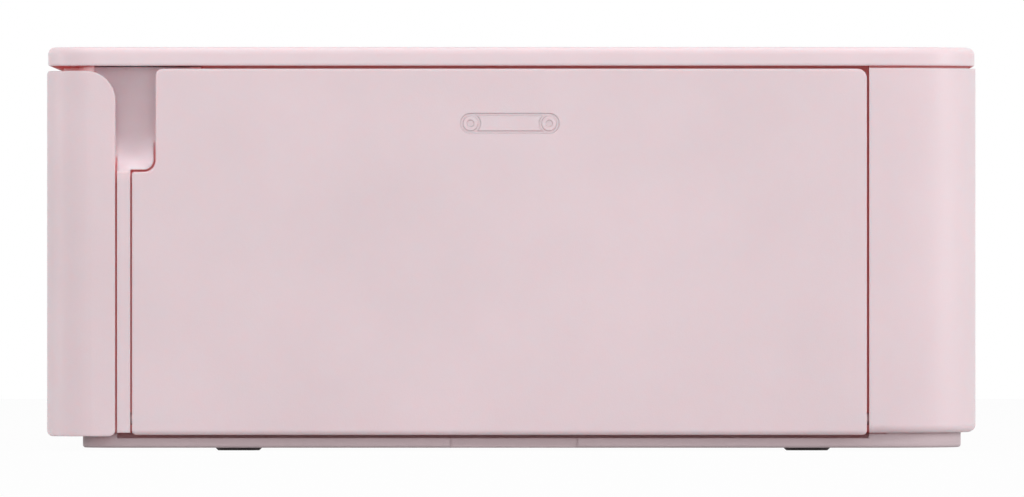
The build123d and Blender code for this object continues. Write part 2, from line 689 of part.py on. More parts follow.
def front_frame():
    """Inner front wall with the paper opening, the strip and the finger recess."""
    low, high = SHELL_BOTTOM, SHELL_TOP
    frame = prism(casing_plan(FRAME_INSET), low, high)
    frame += prism(casing_plan(FRAME_INSET + STEP_T), high, PLATE_UNDER)
    frame -= prism(casing_plan(FRAME_INSET + WALL), 0, HEIGHT)
    frame -= block(-WIDTH, WIDTH, STRIP_FRONT + FRAME_LAP, REAR + BEYOND, 0, HEIGHT)
    frame -= block(0, WIDTH, STRIP_REAR, REAR, 0, HEIGHT)

    opening = rounded_face(
        (-BAY_HALF, BAY_FLOOR, 1.0),
        (BAY_HALF, BAY_FLOOR, 1.0),
        (BAY_HALF, BAY_TOP, 2.5),
        (-BAY_HALF, BAY_TOP, 2.5),
    )
    frame -= across_y(opening, FRONT, FRONT + 3 * FRAME_INSET)

    # strip between the flap and the ink door
    frame += block(PANEL_X0, HALF_X, STRIP_FRONT, STRIP_REAR, low, DOOR_LEDGE_Z)
    frame -= rod_y(DOOR_PIN_R, STRIP_FRONT - 1, STRIP_REAR + 1, DOOR_AXIS_X, DOOR_AXIS_Z)

    # finger recess: a scoop whose floor curves up and inwards from the strip's top
    scoop_x = HALF_X - RECESS_DEPTH
    scoop_r = (RECESS_DEPTH**2 + RECESS_RISE**2) / (2 * RECESS_DEPTH)
    scoop = make_face(
        Line((HALF_X, DOOR_LEDGE_Z), (HALF_X + 1, DOOR_LEDGE_Z))
        + Line((HALF_X + 1, DOOR_LEDGE_Z), (HALF_X + 1, HEIGHT))
        + Line((HALF_X + 1, HEIGHT), (scoop_x, HEIGHT))
        + Line((scoop_x, HEIGHT), (scoop_x, DOOR_LEDGE_Z + RECESS_RISE))
        + RadiusArc((scoop_x, DOOR_LEDGE_Z + RECESS_RISE), (HALF_X, DOOR_LEDGE_Z), -scoop_r)
    )
    tub_x = scoop_x - RECESS_WALL
    tub_z = DOOR_LEDGE_Z - RECESS_WALL
    tub_y = RECESS_REAR + RECESS_WALL
    tub_out = DOOR_INNER_X - DOOR_RIB_HEIGHT - SEAM
    tub_top = PLATE_UNDER - CASE_FIT
    tub = block(tub_x, tub_out, STRIP_REAR, tub_y, tub_z, tub_top)
    tub += block(tub_x, HALF_X, STRIP_FRONT, STRIP_REAR, tub_z, tub_top)
    tub += block(tub_x, HALF_X - FRAME_INSET, RECESS_FRONT - RECESS_WALL, STRIP_FRONT, tub_z, tub_top)
    lip_low, lip_rear = DOOR_LEDGE_Z + RECESS_GAP, DOOR_NOTCH_Y - RECESS_GAP
    lip = rounded_face(
        (STRIP_REAR - STRIP_LAP, lip_low, 0.1),
        (lip_rear, lip_low, DOOR_NOTCH_R - RECESS_GAP),
        (lip_rear, tub_top, 0.1),
        (STRIP_REAR - STRIP_LAP, tub_top, 0.1),
    )
    frame += tub + across_x(lip, tub_x, HALF_X)
    frame -= across_y(scoop, RECESS_FRONT, RECESS_REAR)

    # room for the flap's hinge ears and the tray's lugs
    reach = FLAP_EAR_T / 2 + LUG_T + 2 * HINGE_SIDE_GAP
    for side in (-1, 1):
        x = side * FLAP_EAR_X
        frame -= block(x - reach, x + reach, FRONT, FRONT + 3 * FRAME_INSET, 0, 2 * FLAP_AXIS_Z)

    # room for the flap's lower edge as it swings under
    swing_y = FRONT + BASE_FRONT_INSET + SEAM
    frame -= block(-WIDTH, WIDTH, FRONT, swing_y, 0, FLAP_AXIS_Z + FLAP_EAR_R)

    # slot for the flap's tongue
    half = FLAP_TONGUE_WIDTH / 2 + SEAM
    frame -= block(-half, half, FRONT, FRONT + 3 * FRAME_INSET, FLAP_TONGUE_Z - 1, FLAP_TONGUE_Z + 2.4)

    # bosses for the case screws
    wall_y = FRONT + FRAME_INSET + WALL / 2
    for x in (-FRONT_BOSS_X, FRONT_BOSS_X):
        frame += block(x - 1, x + 1, wall_y, FRONT_BOSS_Y, SHELL_BOTTOM, CASE_BOSS_TOP)
        frame += rod_z(CASE_BOSS_R, FLOOR, CASE_BOSS_TOP, x, FRONT_BOSS_Y)
        frame -= rod_z(CASE_SCREW_R, 0, CASE_SCREW_LENGTH + 3, x, FRONT_BOSS_Y)
    return frame


def bay_face(grow=0.0):
    """Outline of the ribbon bay in Y and Z: two lobes joined by the throat under the head."""
    r = BAY_CORNER_R + grow
    return rounded_face(
        (BAY_FRONT_Y - grow, BAY_LOW_Z - grow, r),
        (THROAT_FRONT_Y - grow, BAY_LOW_Z - grow, 0),
        (THROAT_FRONT_Y - grow, THROAT_Z - grow, 0),
        (THROAT_REAR_Y + grow, THROAT_Z - grow, 0),
        (THROAT_REAR_Y + grow, REAR_LOBE_Z - grow, 0),
        (BAY_REAR_Y + grow, REAR_LOBE_Z - grow, r),
        (BAY_REAR_Y + grow, BAY_HIGH_Z + grow, r),
        (BAY_FRONT_Y - grow, BAY_HIGH_Z + grow, r),
    )


def bay_panel():
    """Wall of the pocket behind the ink door, with the ribbon bay's mouth."""
    panel = block(PANEL_X0, PANEL_X1, STRIP_REAR, JAMB_Y, SHELL_BOTTOM, SKIN_UNDER - SEAM)
    gap = CASE_FIT
    tub_x = HALF_X - RECESS_DEPTH - RECESS_WALL - gap
    tub_z = DOOR_LEDGE_Z - RECESS_WALL - gap
    panel -= block(tub_x, WIDTH, STRIP_REAR - 1, RECESS_REAR + RECESS_WALL + gap, tub_z, HEIGHT)
    panel -= across_x(bay_face(), PANEL_X0 - 1, PANEL_X1 + 1)
    half = LATCH_WIDTH / 2 + 0.5
    panel -= block(PANEL_X0 - 1, PANEL_X1 + 1, -half, half, LATCH_Z - 0.8, LATCH_Z + LATCH_T + 0.9)
    y_low = LEVER_Y - LEVER_LENGTH * math.sin(math.radians(LEVER_SWING_DEG)) - LEVER_WIDTH / 2 - 0.6
    y_high = LEVER_Y + LEVER_WIDTH / 2 + 0.6
    z_top = LEVER_Z + LEVER_LENGTH
    panel -= block(PANEL_X0 - 1, PANEL_X1 + 1, y_low, y_high, z_top - 3.0, z_top + 2.6)
    panel += rod_x(LEVER_PIN_R, PANEL_X0 - LEVER_T - 0.8, PANEL_X0, LEVER_Y, LEVER_Z)
    return panel


def lower_tray():
    """Floor of the casing, with the flap's hinge lugs and the chassis bosses."""
    tray = prism(base_plan(), FOOT_SHOW, FLOOR)
    tray = fillet(tray.edges().group_by(Axis.Z)[0], BASE_EDGE_R)
    lip = prism(base_plan(), FLOOR, FLOOR + TRAY_LIP_HEIGHT)
    lip -= prism(base_plan(TRAY_LIP_T), 0, HEIGHT)
    lip -= block(PANEL_X0 - 1, WIDTH, FRONT, JAMB_Y + JAMB_T + SEAM, FLOOR, HEIGHT)
    lip_end = FRONT_BOSS_X - CASE_BOSS_R - 1.5
    lip -= block(-WIDTH, -lip_end, FRONT, STRIP_FRONT + FRAME_LAP + CASE_FIT, FLOOR, HEIGHT)
    lip -= block(lip_end, WIDTH, FRONT, STRIP_FRONT + FRAME_LAP + CASE_FIT, FLOOR, HEIGHT)
    inlet_room = INLET_WIDTH / 2 + 1
    lip -= block(INLET_X - inlet_room, INLET_X + inlet_room, 0, WIDTH, FLOOR + 1, HEIGHT)
    tray += lip
    tray -= block(PANEL_X1, WIDTH, STRIP_FRONT, JAMB_Y, FLOOR - BASE_UNDER_DOOR, FLOOR + 1)
    land_x = HALF_X - BASE_SIDE_INSET - LAND_DEPTH
    tray -= block(land_x, WIDTH, LAND_Y0, LAND_Y1, 0, FLOOR)

    # blank panel recess and air slots in the underside
    panel = rounded_face(
        (-PANEL_RECESS_X, -PANEL_RECESS_Y, 1.5),
        (PANEL_RECESS_X, -PANEL_RECESS_Y, 1.5),
        (PANEL_RECESS_X, PANEL_RECESS_Y, 1.5),
        (-PANEL_RECESS_X, PANEL_RECESS_Y, 1.5),
    )
    tray -= prism(panel, 0, FOOT_SHOW + PANEL_RECESS_DEPTH)
    vent_x = (MAIN_BOARD_X0 + MAIN_BOARD_X1) / 2
    for i in range(FLOOR_VENTS):
        y = (i - (FLOOR_VENTS - 1) / 2) * FLOOR_VENT_PITCH
        tray -= prism(pill(vent_x, y, FLOOR_VENT_LENGTH, FLOOR_VENT_WIDTH), 0, FLOOR + 1)

    # hinge lugs of the front flap
    for x in flap_lugs():
        web_rear = FRONT + BASE_FRONT_INSET + TRAY_LIP_T
        lug = rod_x(FLAP_EAR_R, x - LUG_T / 2, x + LUG_T / 2, FLAP_AXIS_Y, FLAP_AXIS_Z)
        lug += block(
            x - LUG_T / 2,
            x + LUG_T / 2,
            FLAP_AXIS_Y,
            web_rear,
            FLAP_AXIS_Z - FLAP_EAR_R / 2,
            FLAP_AXIS_Z + FLAP_EAR_R,
        )
        tray += lug
        tray -= rod_x(FLAP_PIN_R, x - LUG_T, x + LUG_T, FLAP_AXIS_Y, FLAP_AXIS_Z)

    for x, y in main_board_posts():
        tray += rod_z(POST_R, FLOOR, MAIN_BOARD_Z, x, y)
    for x, y in io_board_posts():
        tray += rod_z(POST_R, FLOOR, IO_Z, x, y)
    for x, y in chassis_screw_places():
        tray += rod_z(CHASSIS_BOSS_R, FLOOR, CHASSIS_Z, x, y)
        tray -= rod_z(CHASSIS_SCREW_R, FOOT_SHOW + 0.8, CHASSIS_Z + 1, x, y)
    for x, y in case_screw_places():
        tray -= rod_z(CASE_SCREW_R + CASE_FIT, 0, FLOOR + 1, x, y)
        tray -= rod_z(CASE_SCREW_HEAD_R + CASE_FIT, 0, FOOT_SHOW + CASE_SINK, x, y)
    for x, y in foot_places().values():
        tray -= foot_face_prism(x, y, CASE_FIT, 0, FOOT_SHOW + FOOT_SINK)
    return tray


def flap_lugs():
    """Places along X of the lugs on each side of each flap ear."""
    step = FLAP_EAR_T / 2 + HINGE_SIDE_GAP + LUG_T / 2
    return [side * FLAP_EAR_X + hand * step for side in (-1, 1) for hand in (-1, 1)]


def chassis_screw_places():
    """Places of the screws that hold the chassis floor to the tray."""
    return [(side * CHASSIS_SCREW_X, y) for side in (-1, 1) for y in CHASSIS_SCREW_Y]


def case_screw_places():
    """Places of the screws that hold the tray to the casing walls."""
    fronts = [(side * FRONT_BOSS_X, FRONT_BOSS_Y) for side in (-1, 1)]
    return fronts + [REAR_BOSS_LEFT, REAR_BOSS_RIGHT]


def main_board_posts():
    """Places of the tray's posts under the main board."""
    return [
        (x, y)
        for x in (MAIN_BOARD_X0 + 3.0, MAIN_BOARD_X1 - 3.0)
        for y in (MAIN_BOARD_Y0 + 4.0, MAIN_BOARD_Y1 - 4.0)
    ]


def io_board_posts():
    """Places of the tray's posts under the socket board."""
    return [(x, y) for x in (IO_X0 + 4.0, IO_X1 - 4.0) for y in (IO_Y0 + 3.0, IO_Y1 - 3.0)]


def foot_places():
    """Places of the four feet."""
    return {
        "foot_front_left": (-FOOT_X, FOOT_FRONT_Y),
        "foot_front_right": (FOOT_X, FOOT_FRONT_Y),
        "foot_rear_left": (-FOOT_X, FOOT_REAR_Y),
        "foot_rear_right": (FOOT_X, FOOT_REAR_Y),
    }


def foot_face_prism(x, y, grow, z0, z1):
    """Rounded pad outline at (x, y), raised from z0 to z1."""
    half_x, half_y = FOOT_WIDTH / 2 + grow, FOOT_LENGTH / 2 + grow
    corner = 1.5 + grow
    face = rounded_face(
        (x - half_x, y - half_y, corner),
        (x + half_x, y - half_y, corner),
        (x + half_x, y + half_y, corner),
        (x - half_x, y + half_y, corner),
    )
    return prism(face, z0, z1)


def foot(x, y):
    """Rubber pad seated in its pocket, with a bevelled lower edge."""
    pad = foot_face_prism(x, y, 0.0, 0, FOOT_SHOW + FOOT_SINK)
    return chamfer(pad.edges().group_by(Axis.Z)[0], FOOT_R * 0.8)


# ================================================================ covers that open
def front_flap():
    """Front cover that wraps both front corners and folds down."""
    band = prism(casing_plan(), FLAP_BOTTOM, FLAP_TOP)
    band -= prism(casing_plan(FLAP_T), 0, HEIGHT)
    side = rounded_face(
        (FRONT, FLAP_BOTTOM, FLAP_BOTTOM_R),
        (FLAP_REAR, FLAP_BOTTOM, FLAP_BOTTOM_R),
        (FLAP_REAR, FLAP_TOP, FLAP_CORNER_R),
        (FRONT, FLAP_TOP, FLAP_TOP_R),
    )
    flap = band & across_x(side, -WIDTH, WIDTH)
    for x in (-FLAP_EAR_X, FLAP_EAR_X):
        x0, x1 = x - FLAP_EAR_T / 2, x + FLAP_EAR_T / 2
        ear = rod_x(FLAP_EAR_R, x0, x1, FLAP_AXIS_Y, FLAP_AXIS_Z)
        ear += block(x0, x1, FRONT + FLAP_T / 2, FLAP_AXIS_Y, FLAP_BOTTOM, FLAP_AXIS_Z + FLAP_EAR_R)
        flap += ear
        flap -= rod_x(FLAP_PIN_R + RUN_FIT, x0 - 1, x1 + 1, FLAP_AXIS_Y, FLAP_AXIS_Z)
    relief = LUG_T / 2 + HINGE_SIDE_GAP
    for x in flap_lugs():
        flap -= rod_x(FLAP_EAR_R + SEAM, x - relief, x + relief, FLAP_AXIS_Y, FLAP_AXIS_Z)
    for x in (-FLAP_EAR_X, FLAP_EAR_X):
        x0, x1 = x - FLAP_EAR_T / 2, x + FLAP_EAR_T / 2
        core = rod_x(FLAP_EAR_R, x0, x1, FLAP_AXIS_Y, FLAP_AXIS_Z)
        flap += core - rod_x(FLAP_PIN_R + RUN_FIT, x0 - 1, x1 + 1, FLAP_AXIS_Y, FLAP_AXIS_Z)
    half = FLAP_TONGUE_WIDTH / 2
    tongue_rear = FRONT + FRAME_INSET + WALL - SEAM
    flap += block(-half, half, FRONT + FLAP_T / 2, tongue_rear, FLAP_TONGUE_Z, FLAP_TONGUE_Z + 1.4)
    return flap


def flap_hinge_pins():
    """Steel pins of the front flap."""
    reach = FLAP_EAR_T / 2 + HINGE_SIDE_GAP + LUG_T
    return group(
        rod_x(FLAP_PIN_R, x - reach, x + reach, FLAP_AXIS_Y, FLAP_AXIS_Z)
        for x in (-FLAP_EAR_X, FLAP_EAR_X)
    )


def door_face(inset=0.0):
    """Outline of the ink door in Y and Z, drawn in by inset."""
    return rounded_face(
        (DOOR_FRONT + inset, DOOR_BOTTOM + inset, 0),
        (DOOR_REAR - inset, DOOR_BOTTOM + inset, 0),
        (DOOR_REAR - inset, DOOR_TOP - inset, DOOR_TOP_REAR_R),
        (DOOR_NOTCH_Y + inset, DOOR_TOP - inset, DOOR_TOP_FRONT_R),
        (DOOR_NOTCH_Y + inset, DOOR_LEDGE_Z - inset, DOOR_NOTCH_R + min(inset, DOOR_LEDGE_R)),
        (DOOR_FRONT + inset, DOOR_LEDGE_Z - inset, DOOR_LEDGE_R),
    )


def ink_door():
    """Side cover over the ribbon bay, hinged along its lower edge."""
    door = across_x(door_face(), DOOR_INNER_X, HALF_X)
    outer = door.edges().group_by(Axis.X)[-1]
    rest = [edge for edge in outer if edge.center().Z > DOOR_BOTTOM + 0.1]
    door = fillet(rest, DOOR_EDGE_R)
    door = fillet(
        door.edges().filter_by(Axis.Y).group_by(Axis.X)[-1].sort_by(Axis.Z)[0], DOOR_BOTTOM_EDGE_R
    )

    # stiffening rim and ribs on the inner face
    rib_x = DOOR_INNER_X - DOOR_RIB_HEIGHT
    rim = across_x(door_face(DOOR_RIB_INSET), rib_x, DOOR_INNER_X)
    rim -= across_x(door_face(DOOR_RIB_INSET + DOOR_RIB_T), rib_x - 1, DOOR_INNER_X + 1)
    low = DOOR_BOTTOM + 2 * DOOR_RIB_INSET + DOOR_BARREL_R
    rim -= block(0, WIDTH, FRONT, REAR, 0, low)
    bottom_rib = low + DOOR_RIB_T
    rim += block(
        rib_x,
        DOOR_INNER_X,
        DOOR_FRONT + DOOR_RIB_INSET,
        DOOR_REAR - DOOR_RIB_INSET,
        low,
        bottom_rib,
    )
    for y in (DOOR_FRONT / 2, 0.0, DOOR_REAR / 2):
        top = DOOR_TOP - DOOR_RIB_INSET
        rim += block(rib_x, DOOR_INNER_X, y - DOOR_RIB_T / 2, y + DOOR_RIB_T / 2, low, top)
    door += rim

    # hinge barrels at both lower corners
    for y0, y1 in door_barrels():
        door += rod_y(DOOR_BARREL_R, y0, y1, DOOR_AXIS_X, DOOR_AXIS_Z)
    for y0, y1 in door_barrels():
        door -= rod_y(DOOR_PIN_R + RUN_FIT, y0 - 1, y1 + 1, DOOR_AXIS_X, DOOR_AXIS_Z)

    # latch tongue
    half = LATCH_WIDTH / 2
    tip = DOOR_INNER_X - LATCH_REACH
    door += block(tip, DOOR_INNER_X, -half, half, LATCH_Z, LATCH_Z + LATCH_T)
    door += rod_y(LATCH_T / 2, -half, half, tip + LATCH_T / 2, LATCH_Z + LATCH_T)
    return door


def door_barrels():
    """Spans along Y of the door's two hinge barrels."""
    return [
        (DOOR_FRONT, DOOR_FRONT + DOOR_BARREL_LENGTH),
        (DOOR_REAR - DOOR_BARREL_LENGTH, DOOR_REAR),
    ]


def door_hinge_pins():
    """Steel pins of the ink door, held in the jamb and in the strip."""
    front = rod_y(DOOR_PIN_R, STRIP_FRONT, STRIP_FRONT + DOOR_PIN_LENGTH, DOOR_AXIS_X, DOOR_AXIS_Z)
    rear_end = JAMB_Y + JAMB_T
    rear = rod_y(DOOR_PIN_R, rear_end - DOOR_PIN_LENGTH, rear_end, DOOR_AXIS_X, DOOR_AXIS_Z)
    return group([front, rear])


def rear_cover():
    """Dust cover of the rear paper slot, hinged along its upper edge."""
    skin = prism(casing_plan(), COVER_BOTTOM, COVER_TOP)
    skin -= prism(casing_plan(COVER_T), 0, HEIGHT)
    skin &= block(-COVER_HALF_X, COVER_HALF_X, 0, REAR + 1, COVER_BOTTOM, COVER_TOP)
    outer = skin.edges().filter_by(lambda e: e.center().Y > REAR - REAR_CROWN - 0.2)
    cover = fillet(outer.filter_by(lambda e: abs(e.center().X) < 1), COVER_EDGE_R)
    for side in (-1, 1):
        x0, x1 = sorted((side * (COVER_HALF_X - 4.0), side * COVER_HALF_X))
        cover += rod_x(COVER_AXIS_DROP, x0, x1, COVER_AXIS_Y, COVER_AXIS_Z)
        p0, p1 = sorted((side * (COVER_HALF_X - 1), side * (COVER_HALF_X + COVER_PIN_LENGTH)))
        cover += rod_x(COVER_PIN_R, p0, p1, COVER_AXIS_Y, COVER_AXIS_Z)
    cover &= casing_envelope()
    return cover


def casing_envelope():
    """Everything inside the casing's outline."""
    return prism(casing_plan(), 0, HEIGHT)


def eject_lever():
    """Lever beside the bay mouth that pushes the ribbon cassette out."""
    x1 = PANEL_X0 - CASE_FIT
    x0 = x1 - LEVER_T
    tip = LEVER_Z + LEVER_LENGTH
    lever = rod_x(LEVER_HUB_R, x0, x1, LEVER_Y, LEVER_Z)
    lever += block(x0, x1, LEVER_Y - LEVER_WIDTH / 2, LEVER_Y + LEVER_WIDTH / 2, LEVER_Z, tip)
    tab = block(
        x0,
        PANEL_X1 + LEVER_TAB,
        LEVER_Y - LEVER_WIDTH / 2,
        LEVER_Y + LEVER_WIDTH / 2,
        tip - 1.8,
        tip,
    )
    lever += tab
    lever -= rod_x(LEVER_PIN_R + RUN_FIT, x0 - 1, x1 + 1, LEVER_Y, LEVER_Z)
    return lever


# ================================================================ display and controls
def display_glass():
    """Cover glass, flush in the top plate."""
    x0, x1, y0, y1 = glass_box()
    face = rounded_face((x0, y0, GLASS_R), (x1, y0, GLASS_R), (x1, y1, GLASS_R), (x0, y1, GLASS_R))
    return prism(face, HEIGHT - GLASS_T, HEIGHT - BUTTON_SINK / 2)


def display_module():
    """Display panel in its metal can, under the window."""
    x0, x1, y0, y1 = screen_box(MODULE_LAP)
    return block(x0, x1, y0, y1, SKIN_UNDER - MODULE_T, SKIN_UNDER)


def round_cap(x, y, radius, z0, z1):
    """Round key cap with a softened top edge."""
    cap = rod_z(radius, z0, z1, x, y)
    return fillet(cap.edges().group_by(Axis.Z)[-1], 0.4)


def key(cap, flange, stems):
    """Key made of its cap, the flange that keeps it in and the stems that press the domes."""
    z = SKIN_UNDER - BUTTON_REST_GAP - BUTTON_FLANGE_T - BUTTON_STEM
    solid = cap + flange
    for x, y in stems:
        solid += rod_z(BUTTON_STEM_R, z, SKIN_UNDER, x, y)
    return solid


def flange_levels():
    """Lower and upper level of the key flanges."""
    top = SKIN_UNDER - BUTTON_REST_GAP
    return top - BUTTON_FLANGE_T, top


def round_key(place, radius):
    """Round push button."""
    x, y = place
    low, high = flange_levels()
    cap = round_cap(x, y, radius, low, HEIGHT - BUTTON_SINK)
    flange = rod_z(radius + BUTTON_FLANGE, low, high, x, y)
    return key(cap, flange, [place])


def pad_stems():
    """Places under the ring where its four stems press."""
    r = (PAD_R + PAD_HOLE_R) / 2
    return [(PAD_X + r, PAD_Y), (PAD_X - r, PAD_Y), (PAD_X, PAD_Y + r), (PAD_X, PAD_Y - r)]


def direction_pad():
    """Ring-shaped four-way key."""
    low, high = flange_levels()
    top = HEIGHT - BUTTON_SINK
    ring = round_cap(PAD_X, PAD_Y, PAD_R, low, top)
    ring -= rod_z(PAD_HOLE_R, low - 1, top + 1, PAD_X, PAD_Y)
    flange = rod_z(PAD_R + BUTTON_FLANGE, low, high, PAD_X, PAD_Y)
    flange -= rod_z(PAD_HOLE_R, low - 1, high + 1, PAD_X, PAD_Y)
    return key(ring, flange, pad_stems())


def ok_button():
    """Round key inside the ring."""
    x, y = PAD_X, PAD_Y
    low = DOME_TOP + DOME_GAP + BUTTON_TRAVEL
    high = flange_levels()[0] - BUTTON_TRAVEL - DOME_GAP
    cap = round_cap(x, y, OK_R, low, HEIGHT - BUTTON_SINK)
    return cap + rod_z(OK_R + OK_LIP, low, high, x, y)


def pill(x, y, length, width):
    """Long plan outline with round ends."""
    r = width / 2
    return Pos(x, y) * SlotOverall(length, 2 * r)


def print_button():
    """Long key that starts a print."""
    x, y = PRINT_AT
    low, high = flange_levels()
    cap = prism(pill(x, y, PRINT_LENGTH, PRINT_WIDTH), low, HEIGHT - BUTTON_SINK)
    cap = fillet(cap.edges().group_by(Axis.Z)[-1], 0.4)
    grow = 2 * BUTTON_FLANGE
    flange = prism(pill(x, y, PRINT_LENGTH + grow, PRINT_WIDTH + grow), low, high)
    return key(cap, flange, [(x, y)])


def round_keys():
    """Round push buttons: name, place and radius."""
    return {
        "power_button": (POWER_AT, POWER_R),
        "back_button": (BACK_AT, ROUND_BUTTON_R),
        "menu_button": (MENU_AT, ROUND_BUTTON_R),
    }


def button_cutters():
    """Holes through the top plate, one for each key."""
    low, high = SKIN_UNDER - BEYOND, HEIGHT + BEYOND
    cutters = [rod_z(PAD_R + BUTTON_FIT, PLATE_UNDER, high, PAD_X, PAD_Y)]
    for place, radius in round_keys().values():
        cutters.append(rod_z(radius + BUTTON_FIT, PLATE_UNDER, high, *place))
    x, y = PRINT_AT
    grow = 2 * BUTTON_FIT
    cutters.append(prism(pill(x, y, PRINT_LENGTH + grow, PRINT_WIDTH + grow), PLATE_UNDER, high))
    return cutters


def key_mat():
    """Rubber mat with a dome under each key stem."""
    mat = block(
        KEYBOARD_X0 + KEY_MAT_INSET,
        KEYBOARD_X1 - KEY_MAT_INSET,
        KEYBOARD_Y0 + KEY_MAT_INSET,
        KEYBOARD_Y1 - KEY_MAT_INSET,
        KEYBOARD_TOP,
        KEYBOARD_TOP + DOME_T / 2,
    )
    places = [PRINT_AT, (PAD_X, PAD_Y)] + pad_stems()
    places += [place for place, _ in round_keys().values()]
    for x, y in places:
        dome = Pos(x, y, (KEYBOARD_TOP + DOME_TOP) / 2) * Cone(DOME_BASE_R, DOME_TOP_R, DOME_T)
        mat += dome
    return mat


def key_board():
    """Circuit board under the keys."""
    z0 = KEYBOARD_TOP - KEYBOARD_T
    return block(KEYBOARD_X0, KEYBOARD_X1, KEYBOARD_Y0, KEYBOARD_Y1, z0, KEYBOARD_TOP)


# ================================================================ mechanism frame
def bearing_places():
    """Shaft places in the side plates: Y, Z and shaft radius."""
    return [
        (PLATEN_Y, PLATEN_Z, PLATEN_SHAFT_R),
        (CAPSTAN_Y, CAPSTAN_Z, CAPSTAN_SHAFT_R),
        (HEAD_PIVOT_Y, HEAD_PIVOT_Z, HEAD_PIVOT_R),
        (PICK_PIVOT_Y, PICK_PIVOT_Z, PICK_SHAFT_R),
    ]


def side_plate_blank(x0, x1):
    """Sheet-metal side plate with its bearing holes."""
    face = rounded_face(
        (SIDE_FRONT, CHASSIS_TOP, 0),
        (SIDE_REAR, CHASSIS_TOP, 0),
        (SIDE_REAR, SIDE_TOP, 4.0),
        (SIDE_FRONT, SIDE_TOP, 6.0),
    )
    plate = across_x(face, x0, x1)
    for y, z, _ in bearing_places():
        plate -= rod_x(BUSH_R, x0 - 1, x1 + 1, y, z)
    plate -= rod_x(PINCH_SHAFT_R + RUN_FIT, x0 - 1, x1 + 1, CAPSTAN_Y, PINCH_Z)
    return plate


def chassis_left():
    """Left side plate, which carries the gears and the ribbon spindles."""
    plate = side_plate_blank(-SIDE_OUT, -SIDE_X)
    for y, z in ((TAKEUP_Y, TAKEUP_Z), (SUPPLY_Y, SUPPLY_Z)):
        plate -= rod_x(SPINDLE_SHAFT_R + RUN_FIT, -SIDE_OUT - 1, -SIDE_X + 1, y, z)
    return plate


def chassis_right():
    """Right side plate, open where the ribbon cassette slides in."""
    plate = side_plate_blank(SIDE_X, SIDE_OUT)
    plate -= across_x(bay_face(), SIDE_X - 1, SIDE_OUT + 1)
    return plate


def chassis_base():
    """Sheet-metal floor that joins the side plates."""
    base = block(-SIDE_OUT, SIDE_OUT, CHASSIS_FRONT, SIDE_REAR, CHASSIS_Z, CHASSIS_TOP)
    for x, y in chassis_screw_places():
        base -= rod_z(CHASSIS_SCREW_R + CASE_FIT, 0, CHASSIS_TOP + 1, x, y)
    half = SIDE_X - 25.0
    for y in (-15.0, 5.0, 25.0):
        window = rounded_face(
            (-half, y - 5, 3), (half, y - 5, 3), (half, y + 5, 3), (-half, y + 5, 3)
        )
        base -= prism(window, 0, CHASSIS_TOP + 1)
    return base


def shaft_bushes():
    """Plastic bushes of the shafts, pressed into the side plates."""
    bushes = []
    for y, z, shaft_r in bearing_places():
        for side in (-1, 1):
            x0, x1 = sorted((side * SIDE_X, side * (SIDE_X + BUSH_T)))
            f0, f1 = sorted((side * SIDE_OUT, side * (SIDE_X + BUSH_T)))
            bush = rod_x(BUSH_R, x0, x1, y, z) + rod_x(BUSH_R + 0.7, f0, f1, y, z)
            bushes.append(bush - rod_x(shaft_r + RUN_FIT, x0 - 1, x1 + 1, y, z))
    return group(bushes)


# ================================================================ paper path
def cassette_bay():
    """Channel that the paper cassette slides into, with the ramp that lifts the sheet."""
    front = FRONT + FRAME_INSET + WALL + CASE_FIT
    floor_z = BAY_FLOOR - BAY_WALL
    outer = BAY_HALF + BAY_WALL
    bay = block(-outer, outer, front, BAY_REAR, floor_z, BAY_TOP)
    bay -= block(-BAY_HALF, BAY_HALF, front - 1, BAY_REAR - BAY_WALL, BAY_FLOOR, BAY_TOP + 1)
    bay -= block(-BAY_HALF, BAY_HALF, BAY_REAR - BEYOND, BAY_REAR + 1, PAPER_Z - 7.0, BAY_TOP + 1)
    bay -= block(-outer - 1, outer + 1, BAY_STEP_Y, BAY_REAR + 1, BAY_STEP_TOP, BAY_TOP + 1)
    for side in (-1, 1):
        x0, x1 = sorted((side * (BAY_HALF - RAIL_OUT), side * BAY_HALF))
        for z, rear in ((BAY_FLOOR + RAIL_LEVEL, BAY_REAR - 6), (BAY_TOP - RAIL_LEVEL, BAY_STEP_Y)):
            bay += block(x0, x1, front + 6, rear, z, z + RAIL_T)
    for x in (-0.8 * BAY_HALF, 0.0, 0.8 * BAY_HALF):
        bay += block(x - 2, x + 2, front + 4, CHASSIS_FRONT - 2, FLOOR, floor_z)
        bay += block(x - 2, x + 2, CHASSIS_FRONT + 2, BAY_REAR - 2, CHASSIS_TOP, floor_z)
    return bay + paper_ramp()


def paper_ramp():
    """Guide that lifts the sheet from the cassette to the platen."""
    face = rounded_face(
        (BAY_REAR - 1.0, PAPER_Z - 8.2, 0),
        (BAY_REAR - 1.0, PAPER_Z - 7.0, 0),
        (BAY_REAR + 5.0, PAPER_Z - 2.6, 3.0),
        (PLATEN_Y - 5.6, PAPER_Z - 1.6, 0),
        (PLATEN_Y - 5.6, PAPER_Z - 2.8, 0),
        (BAY_REAR + 5.2, PAPER_Z - 4.0, 3.0),
    )
    return across_x(face, -BAY_HALF, BAY_HALF)


def paper_chute():
    """Flat duct that carries the sheet to the rear slot and back."""
    low = PAPER_Z - 0.8 - GUIDE_T
    high = low + GUIDE_T + CHUTE_GAP
    outer = CHUTE_HALF + GUIDE_T
    chute = block(-outer, outer, CHUTE_FRONT, CHUTE_REAR, low, high + GUIDE_T)
    chute -= block(-CHUTE_HALF, CHUTE_HALF, CHUTE_FRONT - 1, CHUTE_REAR + 1, low + GUIDE_T, high)
    for side in (-1, 1):
        x0, x1 = sorted((side * outer, side * SIDE_X))
        chute += block(x0, x1, CHUTE_FRONT + 6, SIDE_REAR - 4, low, low + GUIDE_T)
    return chute


